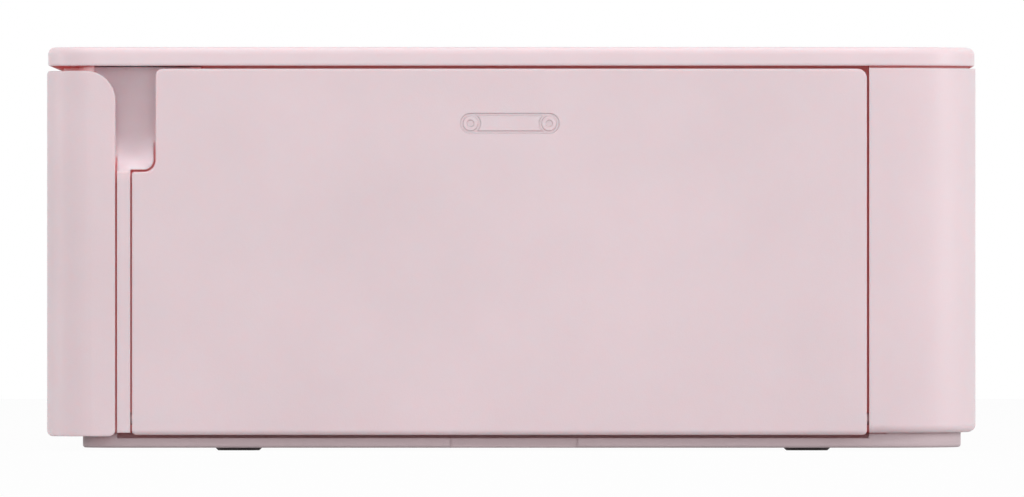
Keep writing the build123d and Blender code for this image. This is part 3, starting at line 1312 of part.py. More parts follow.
def platen_shaft():
    """Steel shaft of the platen roller."""
    return rod_x(PLATEN_SHAFT_R, -SIDE_X - BUSH_T, SIDE_X + BUSH_T, PLATEN_Y, PLATEN_Z)


def platen_sleeve():
    """Rubber sleeve that backs the sheet under the head."""
    sleeve = rod_x(PLATEN_R, -ROLLER_HALF, ROLLER_HALF, PLATEN_Y, PLATEN_Z)
    return sleeve - rod_x(PLATEN_SHAFT_R, -SIDE_X, SIDE_X, PLATEN_Y, PLATEN_Z)


def capstan_roller():
    """Steel feed roller with its reduced journals, carried on to its gear."""
    roller = rod_x(CAPSTAN_R, -ROLLER_HALF, ROLLER_HALF, CAPSTAN_Y, CAPSTAN_Z)
    return roller + rod_x(CAPSTAN_SHAFT_R, GEAR_X0 - 0.6, SIDE_X + BUSH_T, CAPSTAN_Y, CAPSTAN_Z)


def pinch_roller():
    """Roller that presses the sheet on the feed roller."""
    roller = rod_x(PINCH_R, -ROLLER_HALF, ROLLER_HALF, CAPSTAN_Y, PINCH_Z)
    return roller + rod_x(PINCH_SHAFT_R, -SIDE_OUT, SIDE_OUT, CAPSTAN_Y, PINCH_Z)


def pick_shaft():
    """Shaft that the pick-up arm swings on."""
    return rod_x(PICK_SHAFT_R, -SIDE_X - BUSH_T, SIDE_X + BUSH_T, PICK_PIVOT_Y, PICK_PIVOT_Z)


def pick_arm():
    """Pair of links with a tie tube and an axle, which lowers the pick-up roller."""
    inner = PICK_HALF + HINGE_SIDE_GAP
    arm = rod_x(PICK_ARM_R, -inner - PICK_ARM_T, inner + PICK_ARM_T, PICK_PIVOT_Y, PICK_PIVOT_Z)
    dy, dz = PICK_AXLE_Y - PICK_PIVOT_Y, PICK_AXLE_Z - PICK_PIVOT_Z
    reach = math.hypot(dy, dz)
    tilt = math.degrees(math.atan2(dz, dy))
    for side in (-1, 1):
        x0, x1 = sorted((side * inner, side * (inner + PICK_ARM_T)))
        link = Pos((PICK_PIVOT_Y + PICK_AXLE_Y) / 2, (PICK_PIVOT_Z + PICK_AXLE_Z) / 2)
        link *= Rot(0, 0, tilt) * SlotCenterToCenter(reach, 2 * PICK_ARM_R)
        arm += across_x(link, x0, x1)
    arm -= rod_x(PICK_SHAFT_R + RUN_FIT, -SIDE_X, SIDE_X, PICK_PIVOT_Y, PICK_PIVOT_Z)
    return arm + rod_x(PICK_AXLE_R, -inner - 1, inner + 1, PICK_AXLE_Y, PICK_AXLE_Z)


def pick_roller():
    """Rubber roller that draws one sheet from the stack."""
    roller = rod_x(PICK_R, -PICK_HALF, PICK_HALF, PICK_AXLE_Y, PICK_AXLE_Z)
    for i in range(-2, 3):
        x = i * 4.0
        groove = rod_x(PICK_R + 1, x - 0.5, x + 0.5, PICK_AXLE_Y, PICK_AXLE_Z)
        groove -= rod_x(PICK_R - 0.6, x - 1, x + 1, PICK_AXLE_Y, PICK_AXLE_Z)
        roller -= groove
    return roller - rod_x(PICK_AXLE_R + RUN_FIT, -SIDE_X, SIDE_X, PICK_AXLE_Y, PICK_AXLE_Z)


def pinch_springs():
    """Leaf springs on the side plates that load the pinch roller."""
    z = PINCH_Z + PINCH_SHAFT_R + PAPER_GAP
    rear = CAPSTAN_Y + SPRING_REAR
    springs = []
    for side in (-1, 1):
        x0, x1 = sorted((side * (SIDE_X - SPRING_WIDTH), side * SIDE_X))
        w0, w1 = sorted((side * (SIDE_X - SPRING_T), side * SIDE_X))
        leaf = block(x0, x1, CAPSTAN_Y - SPRING_FRONT, rear, z, z + SPRING_T)
        leaf += block(w0, w1, rear - SPRING_FOOT, rear, z - SPRING_DROP, z)
        springs.append(leaf)
    return group(springs)


# ================================================================ head and ribbon bay
def head_strip_place():
    """Where the heating line lies with the head lifted: the printing place turned back."""
    turn = -math.radians(HEAD_OPEN_DEG)
    dy, dz = PLATEN_Y - HEAD_PIVOT_Y, PAPER_Z + HEAD_GAP - HEAD_PIVOT_Z
    return (
        HEAD_PIVOT_Y + dy * math.cos(turn) - dz * math.sin(turn),
        HEAD_PIVOT_Z + dy * math.sin(turn) + dz * math.cos(turn),
    )


def head_arm():
    """Sheet-metal arm on its shaft, which swings the head down on the ribbon."""
    line_y, _ = head_strip_place()
    front = line_y - HEAD_WIDTH / 2
    arm = block(-ARM_HALF, ARM_HALF, front, HEAD_PIVOT_Y + 2, HEAD_TOP, HEAD_TOP + ARM_T)
    inner, outer = 6.0, ARM_HALF - 7.0
    low, high = PLATEN_Y + 12.0, HEAD_PIVOT_Y - 8.0
    for side in (-1, 1):
        window = rounded_face(
            (side * inner, low, 2), (side * outer, low, 2), (side * outer, high, 2), (side * inner, high, 2)
        )
        arm -= prism(window, HEAD_TOP - 1, HEAD_TOP + ARM_T + 1)
        x0, x1 = sorted((side * (ARM_HALF - ARM_T), side * ARM_HALF))
        ear = rod_x(ARM_EAR_R, x0, x1, HEAD_PIVOT_Y, HEAD_PIVOT_Z)
        ear += block(x0, x1, HEAD_PIVOT_Y - 3, HEAD_PIVOT_Y + 2, HEAD_PIVOT_Z, HEAD_TOP + ARM_T)
        arm += ear
    return arm + rod_x(HEAD_PIVOT_R, -SIDE_X - BUSH_T, SIDE_X + BUSH_T, HEAD_PIVOT_Y, HEAD_PIVOT_Z)


def thermal_head():
    """Finned aluminium heat sink hung under the arm."""
    line_y, line_z = head_strip_place()
    y0, y1 = line_y - HEAD_WIDTH / 2, line_y + HEAD_WIDTH / 2
    z0 = line_z + HEAD_STRIP_T
    face = rounded_face(
        (line_y - HEAD_STRIP_WIDTH / 2 - 1.0, z0, 0),
        (line_y + HEAD_STRIP_WIDTH / 2 + 1.0, z0, 0),
        (y1, z0 + 4.0, 1.0),
        (y1, HEAD_TOP, 0),
        (y0, HEAD_TOP, 0),
        (y0, z0 + 4.0, 1.0),
    )
    sink = across_x(face, -HEAD_HALF, HEAD_HALF)
    pitch = 2 * HEAD_HALF / (HEAD_FINS + 1)
    for i in range(HEAD_FINS):
        x = -HEAD_HALF + (i + 1) * pitch
        sink -= block(x - 1.5, x + 1.5, y1 - HEAD_FIN_DEPTH, y1 + 1, z0 + 6.0, HEAD_TOP - 2.0)
    return sink


def head_strip():
    """Ceramic strip with the raised heating line."""
    line_y, line_z = head_strip_place()
    half = HEAD_STRIP_WIDTH / 2
    strip = make_face(
        Line((line_y - half, line_z + HEAD_STRIP_T), (line_y - half, line_z + 0.3))
        + ThreePointArc((line_y - half, line_z + 0.3), (line_y, line_z), (line_y + half, line_z + 0.3))
        + Line((line_y + half, line_z + 0.3), (line_y + half, line_z + HEAD_STRIP_T))
        + Line((line_y + half, line_z + HEAD_STRIP_T), (line_y - half, line_z + HEAD_STRIP_T))
    )
    return across_x(strip, -HEAD_HALF, HEAD_HALF)


def bay_sleeve():
    """Sleeve that leads the ribbon cassette from the panel to the right side plate."""
    x0, x1 = SIDE_OUT, PANEL_X0
    sleeve = across_x(bay_face(SLEEVE_T), x0, x1)
    collar = across_x(bay_face(SLEEVE_T + SLEEVE_FLANGE), x1 - SLEEVE_T, x1)
    collar -= block(0, WIDTH, FRONT, REAR, BAY_HIGH_Z + SLEEVE_T, HEIGHT)
    collar -= block(0, WIDTH, BAY_REAR_Y + SLEEVE_T, REAR, 0, HEIGHT)
    sleeve += collar
    return sleeve - across_x(bay_face(), x0 - 1, x1 + 1)


def spindle(y, z, shaft_end):
    """Ribbon spindle: hub with drive teeth inside the bay, on its shaft."""
    hub0 = -SIDE_X + 0.5
    hub1 = hub0 + SPINDLE_REACH
    body = rod_x(SPINDLE_R, hub0, hub1, y, z)
    body = chamfer(body.edges().group_by(Axis.X)[-1], 1.2)
    for i in range(SPINDLE_TEETH):
        tooth = block(hub0, hub1 - 2.0, -0.8, 0.8, SPINDLE_R - 1.0, SPINDLE_R + 1.4)
        body += Pos(0, y, z) * Rot(i * 360 / SPINDLE_TEETH, 0, 0) * tooth
    return body + rod_x(SPINDLE_SHAFT_R, shaft_end, hub0 + 1, y, z)


def takeup_spindle():
    """Driven spindle that winds the used ribbon."""
    return spindle(TAKEUP_Y, TAKEUP_Z, GEAR_X0 - 0.6)


def supply_spindle():
    """Braked spindle of the fresh ribbon, kept by its collar."""
    keeper = rod_x(SPINDLE_SHAFT_R + 1.5, -SIDE_OUT - 1.8, -SIDE_OUT - 0.4, SUPPLY_Y, SUPPLY_Z)
    return spindle(SUPPLY_Y, SUPPLY_Z, -SIDE_OUT - 1.8) + keeper


# ================================================================ gears and motors
def idler_place():
    """Centre of the reduction gear, in mesh with the motor pinion and the feed gear."""
    to_motor = (MOTOR_TEETH + IDLER_TEETH) * DRIVE_MODULE / 2
    to_capstan = (CAPSTAN_TEETH + IDLER_TEETH) * DRIVE_MODULE / 2
    dy, dz = MOTOR_Y - CAPSTAN_Y, MOTOR_Z - CAPSTAN_Z
    span = math.hypot(dy, dz)
    along = (to_capstan**2 - to_motor**2 + span**2) / (2 * span)
    aside = math.sqrt(to_capstan**2 - along**2)
    uy, uz = dy / span, dz / span
    return CAPSTAN_Y + along * uy - aside * uz, CAPSTAN_Z + along * uz + aside * uy


def ribbon_motor_place():
    """Centre of the ribbon pinion, in mesh with the take-up gear."""
    reach = (RIBBON_TEETH + TAKEUP_TEETH) * RIBBON_MODULE / 2
    turn = math.radians(RIBBON_ANGLE)
    return TAKEUP_Y + reach * math.cos(turn), TAKEUP_Z + reach * math.sin(turn)


def mesh_phase(phase, teeth, place, next_teeth, next_place):
    """Angle of the next gear's first tooth that puts it in mesh with a gear at this phase."""
    dy, dz = next_place[0] - place[0], next_place[1] - place[1]
    line = math.degrees(math.atan2(dz, dy))
    offset = (phase - line) * teeth / 360
    return line + 180 - (offset + 0.5) * 360 / next_teeth


def gear(teeth, module, place, phase, bore_r):
    """Spur gear with involute flanks; a tooth's middle lies at the phase angle."""
    pitch_r = teeth * module / 2
    base_r = pitch_r * math.cos(math.radians(PRESSURE_DEG))
    tip_r = pitch_r + 0.9 * module
    root_r = pitch_r - 1.2 * module
    half_pitch = (math.pi * module / 2 - BACKLASH) / (2 * pitch_r)
    pressure = math.radians(PRESSURE_DEG)

    def half_angle(r):
        """Half the tooth's angular thickness at radius r."""
        r = max(r, base_r)
        slope = math.acos(base_r / r)
        return half_pitch + (math.tan(pressure) - pressure) - (math.tan(slope) - slope)

    def at(r, angle):
        return (r * math.cos(angle), r * math.sin(angle))

    start_r = max(root_r, base_r)
    mid_r = (start_r + tip_r) / 2
    outline = Curve()
    for i in range(teeth):
        middle = math.radians(phase) + 2 * math.pi * i / teeth
        after = middle + 2 * math.pi / teeth
        low_a, low_b = middle - half_angle(start_r), middle + half_angle(start_r)
        tip_a, tip_b = middle - half_angle(tip_r), middle + half_angle(tip_r)
        if start_r > root_r:
            outline += Line(at(root_r, low_a), at(start_r, low_a))
            outline += Line(at(start_r, low_b), at(root_r, low_b))
        rise = at(mid_r, middle - half_angle(mid_r))
        fall = at(mid_r, middle + half_angle(mid_r))
        outline += ThreePointArc(at(start_r, low_a), rise, at(tip_r, tip_a))
        outline += ThreePointArc(at(tip_r, tip_a), at(tip_r, middle), at(tip_r, tip_b))
        outline += ThreePointArc(at(tip_r, tip_b), fall, at(start_r, low_b))
        next_low = after - half_angle(start_r)
        outline += Line(at(root_r, low_b), at(root_r, next_low))
    blank = Pos(*place) * make_face(outline)
    wheel = across_x(blank, GEAR_X0, GEAR_X1)
    if bore_r > 0:
        wheel -= rod_x(bore_r, GEAR_X0 - 1, GEAR_X1 + 1, *place)
    return wheel


def webbed(wheel, place, inner_r, outer_r):
    """Thins the web between a gear's hub and its rim."""
    cut = rod_x(outer_r, GEAR_X0 - 1, GEAR_X0 + 1.4, *place)
    cut += rod_x(outer_r, GEAR_X1 - 1.4, GEAR_X1 + 1, *place)
    cut -= rod_x(inner_r, GEAR_X0 - 2, GEAR_X1 + 2, *place)
    return wheel - cut


def drive_phases():
    """Phases of the motor pinion, the reduction gear and the feed gear."""
    motor = (MOTOR_Y, MOTOR_Z)
    capstan = (CAPSTAN_Y, CAPSTAN_Z)
    idler = mesh_phase(0.0, MOTOR_TEETH, motor, IDLER_TEETH, idler_place())
    feed = mesh_phase(idler, IDLER_TEETH, idler_place(), CAPSTAN_TEETH, capstan)
    return 0.0, idler, feed


def on_motor_shaft(pinion, place):
    """Pinion together with the motor shaft that it is cut on."""
    shaft_x0 = GEAR_PLATE_X0 - MOTOR_BORE_DEPTH + SEAM
    return pinion + rod_x(MOTOR_SHAFT_R, shaft_x0, GEAR_X1 + 0.6, *place)


def feed_pinion():
    """Pinion and shaft of the feed motor."""
    place = (MOTOR_Y, MOTOR_Z)
    pinion = gear(MOTOR_TEETH, DRIVE_MODULE, place, drive_phases()[0], 0)
    return on_motor_shaft(pinion, place)


def reduction_gear():
    """Idler between the motor pinion and the feed gear."""
    place = idler_place()
    wheel = gear(IDLER_TEETH, DRIVE_MODULE, place, drive_phases()[1], STUD_R + RUN_FIT)
    return webbed(wheel, place, 4.0, IDLER_TEETH * DRIVE_MODULE / 2 - 2.6)


def feed_gear():
    """Gear on the feed roller's shaft."""
    place = (CAPSTAN_Y, CAPSTAN_Z)
    wheel = gear(CAPSTAN_TEETH, DRIVE_MODULE, place, drive_phases()[2], CAPSTAN_SHAFT_R)
    return webbed(wheel, place, 4.2, CAPSTAN_TEETH * DRIVE_MODULE / 2 - 2.6)


def takeup_gear():
    """Gear on the take-up spindle."""
    place = (TAKEUP_Y, TAKEUP_Z)
    return gear(TAKEUP_TEETH, RIBBON_MODULE, place, 0.0, SPINDLE_SHAFT_R)


def ribbon_pinion():
    """Pinion and shaft of the ribbon motor."""
    place = ribbon_motor_place()
    phase = mesh_phase(0.0, TAKEUP_TEETH, (TAKEUP_Y, TAKEUP_Z), RIBBON_TEETH, place)
    pinion = gear(RIBBON_TEETH, RIBBON_MODULE, place, phase, 0)
    return on_motor_shaft(pinion, place)


def motor(place, radius, length):
    """Round motor with its front boss and terminal block, bored for its shaft."""
    x1 = GEAR_PLATE_X0
    can = rod_x(radius, x1 - length, x1, *place)
    can = fillet(can.edges().group_by(Axis.X)[0], 1.0)
    y, z = place
    terminal = block(x1 - length / 2 - 2, x1 - length / 2 + 2, y - 2.5, y + 2.5, z - radius - 1.2, z)
    can += terminal
    return can - rod_x(MOTOR_SHAFT_R + RUN_FIT, x1 - MOTOR_BORE_DEPTH, x1 + 1, *place)


def gear_plate():
    """Outer plate of the gear train, with its riveted posts and the reduction gear's stud."""
    rear = MOTOR_Y + MOTOR_R + 0.5
    top = SIDE_TOP - 2.0
    step_z = IO_Z + BOARD_T + USB_HEIGHT + 1.0
    face = rounded_face(
        (GEAR_PLATE_STEP_Y, CHASSIS_TOP, 3.0),
        (rear, CHASSIS_TOP, 4.0),
        (rear, top, 4.0),
        (GEAR_PLATE_FRONT, top, 4.0),
        (GEAR_PLATE_FRONT, step_z, 3.0),
        (GEAR_PLATE_STEP_Y, step_z, 2.0),
    )
    plate = across_x(face, GEAR_PLATE_X0, GEAR_PLATE_X1)
    for place in ((MOTOR_Y, MOTOR_Z), ribbon_motor_place()):
        plate -= rod_x(MOTOR_SHAFT_R + 0.6, GEAR_PLATE_X0 - 1, GEAR_PLATE_X1 + 1, *place)
    low, high = PLATEN_Z - 5.0, PLATEN_Z + 14.0
    front, back = PLATEN_Y - 9.0, PLATEN_Y + 5.0
    window = rounded_face((front, low, 2), (back, low, 2), (back, high, 2), (front, high, 2))
    plate -= across_x(window, GEAR_PLATE_X0 - 1, GEAR_PLATE_X1 + 1)
    for place in POSTS:
        plate += rod_x(POST_R, GEAR_PLATE_X0, -SIDE_OUT, *place)
    return plate + rod_x(STUD_R, GEAR_PLATE_X0, -SIDE_OUT, *idler_place())


# ================================================================ electronics
def main_board():
    """Main circuit board with its larger components."""
    board = block(
        MAIN_BOARD_X0,
        MAIN_BOARD_X1,
        MAIN_BOARD_Y0,
        MAIN_BOARD_Y1,
        MAIN_BOARD_Z,
        MAIN_BOARD_Z + BOARD_T,
    )
    top = MAIN_BOARD_Z + BOARD_T
    middle = (MAIN_BOARD_X0 + MAIN_BOARD_X1) / 2
    components = (
        (middle, PROCESSOR_Y, PROCESSOR_SIZE, PROCESSOR_SIZE, PROCESSOR_T),
        (middle + MEMORY_SHIFT, MEMORY_Y, MEMORY_SIZE, MEMORY_SIZE, MEMORY_T),
        (middle, HEADER_Y, HEADER_LENGTH, HEADER_WIDTH, HEADER_HEIGHT),
    )
    for x, y, length, width, height in components:
        board += Pos(x, y, top + height / 2) * Box(length, width, height)
    for y in (CAPACITOR_Y - CAPACITOR_PITCH / 2, CAPACITOR_Y + CAPACITOR_PITCH / 2):
        board += rod_z(CAPACITOR_R, top, top + CAPACITOR_HEIGHT, middle, y)
    return board


def dc_inlet():
    """Low-voltage power inlet."""
    y1 = REAR - WALL - REAR_CROWN - SEAM
    y0 = y1 - INLET_LENGTH
    half = INLET_WIDTH / 2
    low = FLOOR + 1.0
    high = INLET_Z + INLET_HEIGHT / 2
    inlet = block(INLET_X - half, INLET_X + half, y0, y1, low, high)
    inlet += rod_y(INLET_HOLE_R - CASE_FIT, y1 - 1, REAR - 1.2, INLET_X, INLET_Z)
    inlet -= rod_y(INLET_BORE_R, y1 - 9.0, REAR + 1, INLET_X, INLET_Z)
    inlet += rod_y(INLET_PIN_R, y1 - 10.0, y1 - 0.5, INLET_X, INLET_Z)
    return inlet + block(INLET_X - half, INLET_X + half, y0, y1 - 6, FLOOR, low)


def io_board():
    """Small board that carries the memory sockets."""
    board = block(IO_X0, IO_X1, IO_Y0, IO_Y1, IO_Z, IO_Z + BOARD_T)
    top = IO_Z + BOARD_T
    board += block(IO_X1 - 7.0, IO_X1 - 2.0, CARD_Y - 6.0, CARD_Y + 6.0, top, top + 1.2)
    return board


def socket(y, width, height):
    """Metal socket shell, open towards the left side."""
    x0 = -HALF_X + WALL / 2
    z0 = IO_Z + BOARD_T
    shell = block(x0, x0 + PORT_DEPTH, y - width / 2, y + width / 2, z0, z0 + height)
    return shell - block(
        x0 - 1,
        x0 + PORT_DEPTH - PORT_WALL,
        y - width / 2 + PORT_WALL,
        y + width / 2 - PORT_WALL,
        z0 + PORT_WALL,
        z0 + height - PORT_WALL,
    )


def card_socket():
    """Memory-card socket."""
    return socket(CARD_Y, CARD_WIDTH, CARD_HEIGHT)


def usb_socket():
    """Memory-stick socket with its contact tongue."""
    x0 = -HALF_X + WALL / 2
    z0 = IO_Z + BOARD_T
    shell = socket(USB_Y, USB_WIDTH, USB_HEIGHT)
    half = USB_WIDTH / 2 - 1.2
    tongue = block(x0 + 1.5, x0 + PORT_DEPTH - 0.2, USB_Y - half, USB_Y + half, z0 + 3.2, z0 + 4.8)
    return shell + tongue


# ================================================================ fasteners
def case_screws():
    """Screws from below that hold the tray to the casing walls."""
    screws = []
    for x, y in case_screw_places():
        seat = FOOT_SHOW + CASE_SINK
        head = rod_z(CASE_SCREW_HEAD_R, seat - CASE_SCREW_HEAD, seat, x, y)
        screws.append(head + rod_z(CASE_SCREW_R, seat, seat + CASE_SCREW_LENGTH, x, y))
    return group(screws)


def chassis_screws():
    """Screws that hold the chassis floor to the tray."""
    screws = []
    for x, y in chassis_screw_places():
        head = rod_z(CHASSIS_SCREW_HEAD_R, CHASSIS_TOP, CHASSIS_TOP + CHASSIS_SCREW_HEAD, x, y)
        screws.append(head + rod_z(CHASSIS_SCREW_R, FOOT_SHOW + 1.0, CHASSIS_TOP, x, y))
    return group(screws)


# ================================================================ every node
def nodes():
    """Each node's name with the function that makes it."""
    made = {
        "top_plate": top_plate,
        "body_shell": body_shell,
        "front_frame": front_frame,
        "bay_panel": bay_panel,
        "lower_tray": lower_tray,
        "front_flap": front_flap,
        "flap_hinge_pins": flap_hinge_pins,
        "ink_door": ink_door,
        "door_hinge_pins": door_hinge_pins,
        "rear_cover": rear_cover,
        "eject_lever": eject_lever,
        "display_glass": display_glass,
        "display_module": display_module,
        "direction_pad": direction_pad,
        "ok_button": ok_button,
        "print_button": print_button,
        "key_mat": key_mat,
        "key_board": key_board,
        "chassis_left": chassis_left,
        "chassis_right": chassis_right,
        "chassis_base": chassis_base,
        "shaft_bushes": shaft_bushes,
        "cassette_bay": cassette_bay,
        "paper_chute": paper_chute,
        "platen_shaft": platen_shaft,
        "platen_sleeve": platen_sleeve,
        "capstan_roller": capstan_roller,
        "pinch_roller": pinch_roller,
        "pinch_springs": pinch_springs,
        "pick_shaft": pick_shaft,
        "pick_arm": pick_arm,
        "pick_roller": pick_roller,
        "head_arm": head_arm,
        "thermal_head": thermal_head,
        "head_strip": head_strip,
        "bay_sleeve": bay_sleeve,
        "takeup_spindle": takeup_spindle,
        "supply_spindle": supply_spindle,
        "feed_pinion": feed_pinion,
        "reduction_gear": reduction_gear,
        "feed_gear": feed_gear,
        "takeup_gear": takeup_gear,
        "ribbon_pinion": ribbon_pinion,
        "feed_motor": lambda: motor((MOTOR_Y, MOTOR_Z), MOTOR_R, MOTOR_LENGTH),
        "ribbon_motor": lambda: motor(ribbon_motor_place(), RIBBON_MOTOR_R, RIBBON_MOTOR_LENGTH),
        "gear_plate": gear_plate,
        "main_board": main_board,
        "dc_inlet": dc_inlet,
        "io_board": io_board,
        "card_socket": card_socket,
        "usb_socket": usb_socket,
        "case_screws": case_screws,
        "chassis_screws": chassis_screws,
    }
    for name, (place, radius) in round_keys().items():
        made[name] = lambda place=place, radius=radius: round_key(place, radius)
    for name, place in foot_places().items():
        made[name] = lambda place=place: foot(*place)
    return made


def main():
    """Writes one STEP file for each node."""
    os.makedirs("parts", exist_ok=True)
    for name, make in nodes().items():
        export_step(make(), f"parts/{name}.step")


if __name__ == "__main__":
    main()
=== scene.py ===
import math
import bmesh
import bpy
from mathutils import Matrix, Vector


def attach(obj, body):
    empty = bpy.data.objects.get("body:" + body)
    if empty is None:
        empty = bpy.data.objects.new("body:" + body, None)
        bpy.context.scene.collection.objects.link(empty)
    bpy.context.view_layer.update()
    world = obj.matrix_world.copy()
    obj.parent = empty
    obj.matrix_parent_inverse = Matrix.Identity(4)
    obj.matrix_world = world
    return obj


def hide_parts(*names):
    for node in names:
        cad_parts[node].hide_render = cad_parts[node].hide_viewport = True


# Compact photo printer: finishes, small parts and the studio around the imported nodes.
# Shared frame: origin at the bottom centre, +X to the ink door's side, +Y to the rear, +Z up.
# Blender works in metres; small parts are drawn in millimetres and turned over by in_metres.
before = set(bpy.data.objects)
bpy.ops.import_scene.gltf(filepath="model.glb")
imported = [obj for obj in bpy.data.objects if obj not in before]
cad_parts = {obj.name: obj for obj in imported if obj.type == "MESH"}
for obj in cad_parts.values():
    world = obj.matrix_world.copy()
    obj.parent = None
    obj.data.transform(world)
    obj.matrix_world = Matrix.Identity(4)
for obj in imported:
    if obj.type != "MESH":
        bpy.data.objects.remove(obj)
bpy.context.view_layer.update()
MM = 0.001

# ---------------------------------------------------------------- colours, as sRGB values
SHELL = (221, 202, 207)
PLATE = (224, 205, 210)
BASE = (198, 180, 184)
FOOT = (74, 64, 66)
KEY = (214, 196, 201)
INK = (120, 100, 106)
GRAPHITE = (44, 44, 48)
ACETAL = (232, 228, 216)
STEEL = (172, 174, 178)
SHEET = (186, 188, 190)
BRASS = (205, 168, 96)
ALU = (200, 202, 206)
CERAMIC = (226, 222, 210)
BOARD = (20, 84, 48)
SILICONE = (200, 200, 202)
LEVER = (120, 150, 190)
PIN = (150, 122, 126)
MOTOR = (188, 188, 190)
SCREW = (150, 150, 154)
SOCKET = (196, 198, 200)
ROLLER = (40, 40, 42)
EPOXY = (30, 30, 32)
TIN = (200, 202, 204)
CAPACITOR = (38, 44, 70)
CHIP_PART = (172, 140, 104)
NYLON = (226, 220, 206)
VIA = (196, 180, 120)
GLASS_BORDER = (12, 12, 14)
GLASS_WINDOW = (34, 36, 41)
GLASS_DUST = (120, 120, 122)
FLOOR_GREYS = ((186, 186, 186), (192, 192, 192))

# ---------------------------------------------------------------- plastic that passes light on, and painted reddish shade and glow in narrow gaps, in metres
GLOW_RADII = (1.0, 0.28, 0.25)
GLOW_DEPTH = 0.0018
SEAM_PAINTED_SHADE_GLOW = (170, 70, 68)
SEAM_LIGHT = 0.4
SEAM_REACH = 0.003
SEAM_OPEN, SEAM_SHUT = 0.35, 0.12


def linear(rgb):
    """sRGB 0-255 to linear RGBA."""
    out = []
    for v in rgb:
        c = v / 255
        out.append(c / 12.92 if c <= 0.04045 else ((c + 0.055) / 1.055) ** 2.4)
    return (*out, 1.0)


def scaled(rgb, k):
    return tuple(max(0, min(255, v * k)) for v in rgb)


# ---------------------------------------------------------------- material building
SHADE_SAMPLES = 4
NOISE_ROUGHNESS = 0.55
EDGE_START, EDGE_FULL = 0.003, 0.08
MOTTLE = 0.012
PLASTIC_IOR = 1.46
GLASS_IOR = 1.5
METAL_EDGE, METAL_GRAIN = 0.0002, 0.000008
RUBBER_EDGE = 0.0004


class Graph:
    """A small helper to build one material's node graph."""

    def __init__(self, name):
        self.mat = bpy.data.materials.new(name)
        self.mat.use_nodes = True
        self.nodes = self.mat.node_tree.nodes
        self.links = self.mat.node_tree.links
        self.nodes.clear()
        self.out = self.nodes.new("ShaderNodeOutputMaterial")
        self.bsdf = self.nodes.new("ShaderNodeBsdfPrincipled")
        self.links.new(self.bsdf.outputs[0], self.out.inputs[0])
        self.coord = self.nodes.new("ShaderNodeTexCoord").outputs["Object"]

    def put(self, socket, value):
        if isinstance(value, bpy.types.NodeSocket):
            self.links.new(value, socket)
        else:
            socket.default_value = value

    def set(self, name, value):
        """Sets an input of the surface to a value, or joins a socket to it."""
        self.put(self.bsdf.inputs[name], value)

    def given(self, name):
        """The socket that feeds an input of the surface so far."""
        return self.bsdf.inputs[name].links[0].from_socket

    def math(self, op, a, b=0.0, clamp=False):
        n = self.nodes.new("ShaderNodeMath")
        n.operation = op
        n.use_clamp = clamp
        for socket, value in zip(n.inputs, (a, b)):
            self.put(socket, value)
        return n.outputs[0]

    def mapped(self, scale):
        n = self.nodes.new("ShaderNodeMapping")
        self.links.new(self.coord, n.inputs[0])
        n.inputs["Scale"].default_value = scale
        return n.outputs[0]

    def noise(self, scale, detail, vector=None):
        n = self.nodes.new("ShaderNodeTexNoise")
        self.links.new(vector or self.coord, n.inputs["Vector"])
        n.inputs["Scale"].default_value = scale
        n.inputs["Detail"].default_value = detail
        n.inputs["Roughness"].default_value = NOISE_ROUGHNESS
        return n.outputs[0]

    def voronoi(self, scale):
        n = self.nodes.new("ShaderNodeTexVoronoi")
        self.links.new(self.coord, n.inputs["Vector"])
        n.inputs["Scale"].default_value = scale
        return n.outputs[0]

    def ramp(self, value, low, high, to_low=0.0, to_high=1.0):
        n = self.nodes.new("ShaderNodeMapRange")
        n.clamp = True
        self.put(n.inputs[0], value)
        for i, v in enumerate((low, high, to_low, to_high), 1):
            n.inputs[i].default_value = v
        return n.outputs[0]

    def between(self, value, low, high, soft):
        """1 between two limits and 0 outside them, with soft borders."""
        return self.math("MULTIPLY", self.ramp(value, low, low + soft), self.ramp(value, high, high - soft))

    def mix(self, factor, a, b):
        n = self.nodes.new("ShaderNodeMix")
        n.data_type = "RGBA"
        self.put(n.inputs[0], factor)
        self.put(n.inputs[6], a)
        self.put(n.inputs[7], b)
        return n.outputs[2]

    def bevelled(self, radius):
        n = self.nodes.new("ShaderNodeBevel")
        n.samples = SHADE_SAMPLES
        n.inputs["Radius"].default_value = radius
        return n.outputs[0]

    def edge_mask(self, rounded):
        """1 on edges and 0 on flats, from how far the rounded normal leaves the true one."""
        geo = self.nodes.new("ShaderNodeNewGeometry")
        dot = self.nodes.new("ShaderNodeVectorMath")
        dot.operation = "DOT_PRODUCT"
        self.links.new(rounded, dot.inputs[0])
        self.links.new(geo.outputs["True Normal"], dot.inputs[1])
        away = self.math("SUBTRACT", 1.0, dot.outputs["Value"])
        return self.ramp(away, EDGE_START, EDGE_FULL)

    def bump(self, height, distance, strength=1.0, normal=None):
        n = self.nodes.new("ShaderNodeBump")
        self.put(n.inputs["Height"], height)
        n.inputs["Distance"].default_value = distance
        n.inputs["Strength"].default_value = strength
        if normal is not None:
            self.links.new(normal, n.inputs["Normal"])
        return n.outputs[0]

    def painted_seam_shade_and_glow(self):
        """Painted reddish shade and glow inside narrow gaps between covers, found by ambient occlusion."""
        n = self.nodes.new("ShaderNodeAmbientOcclusion")
        n.samples = SHADE_SAMPLES
        n.inputs["Distance"].default_value = SEAM_REACH
        seam_painted_mask = self.ramp(n.outputs["AO"], SEAM_OPEN, SEAM_SHUT)
        # painted shade and glow: reddish colour and emission where the gap is narrow
        self.set("Base Color", self.mix(seam_painted_mask, self.given("Base Color"), linear(SEAM_PAINTED_SHADE_GLOW)))
        self.set("Emission Color", linear(SEAM_PAINTED_SHADE_GLOW))
        self.set("Emission Strength", self.math("MULTIPLY", seam_painted_mask, SEAM_LIGHT))

    def axes(self):
        n = self.nodes.new("ShaderNodeSeparateXYZ")
        self.links.new(self.coord, n.inputs[0])
        return n.outputs


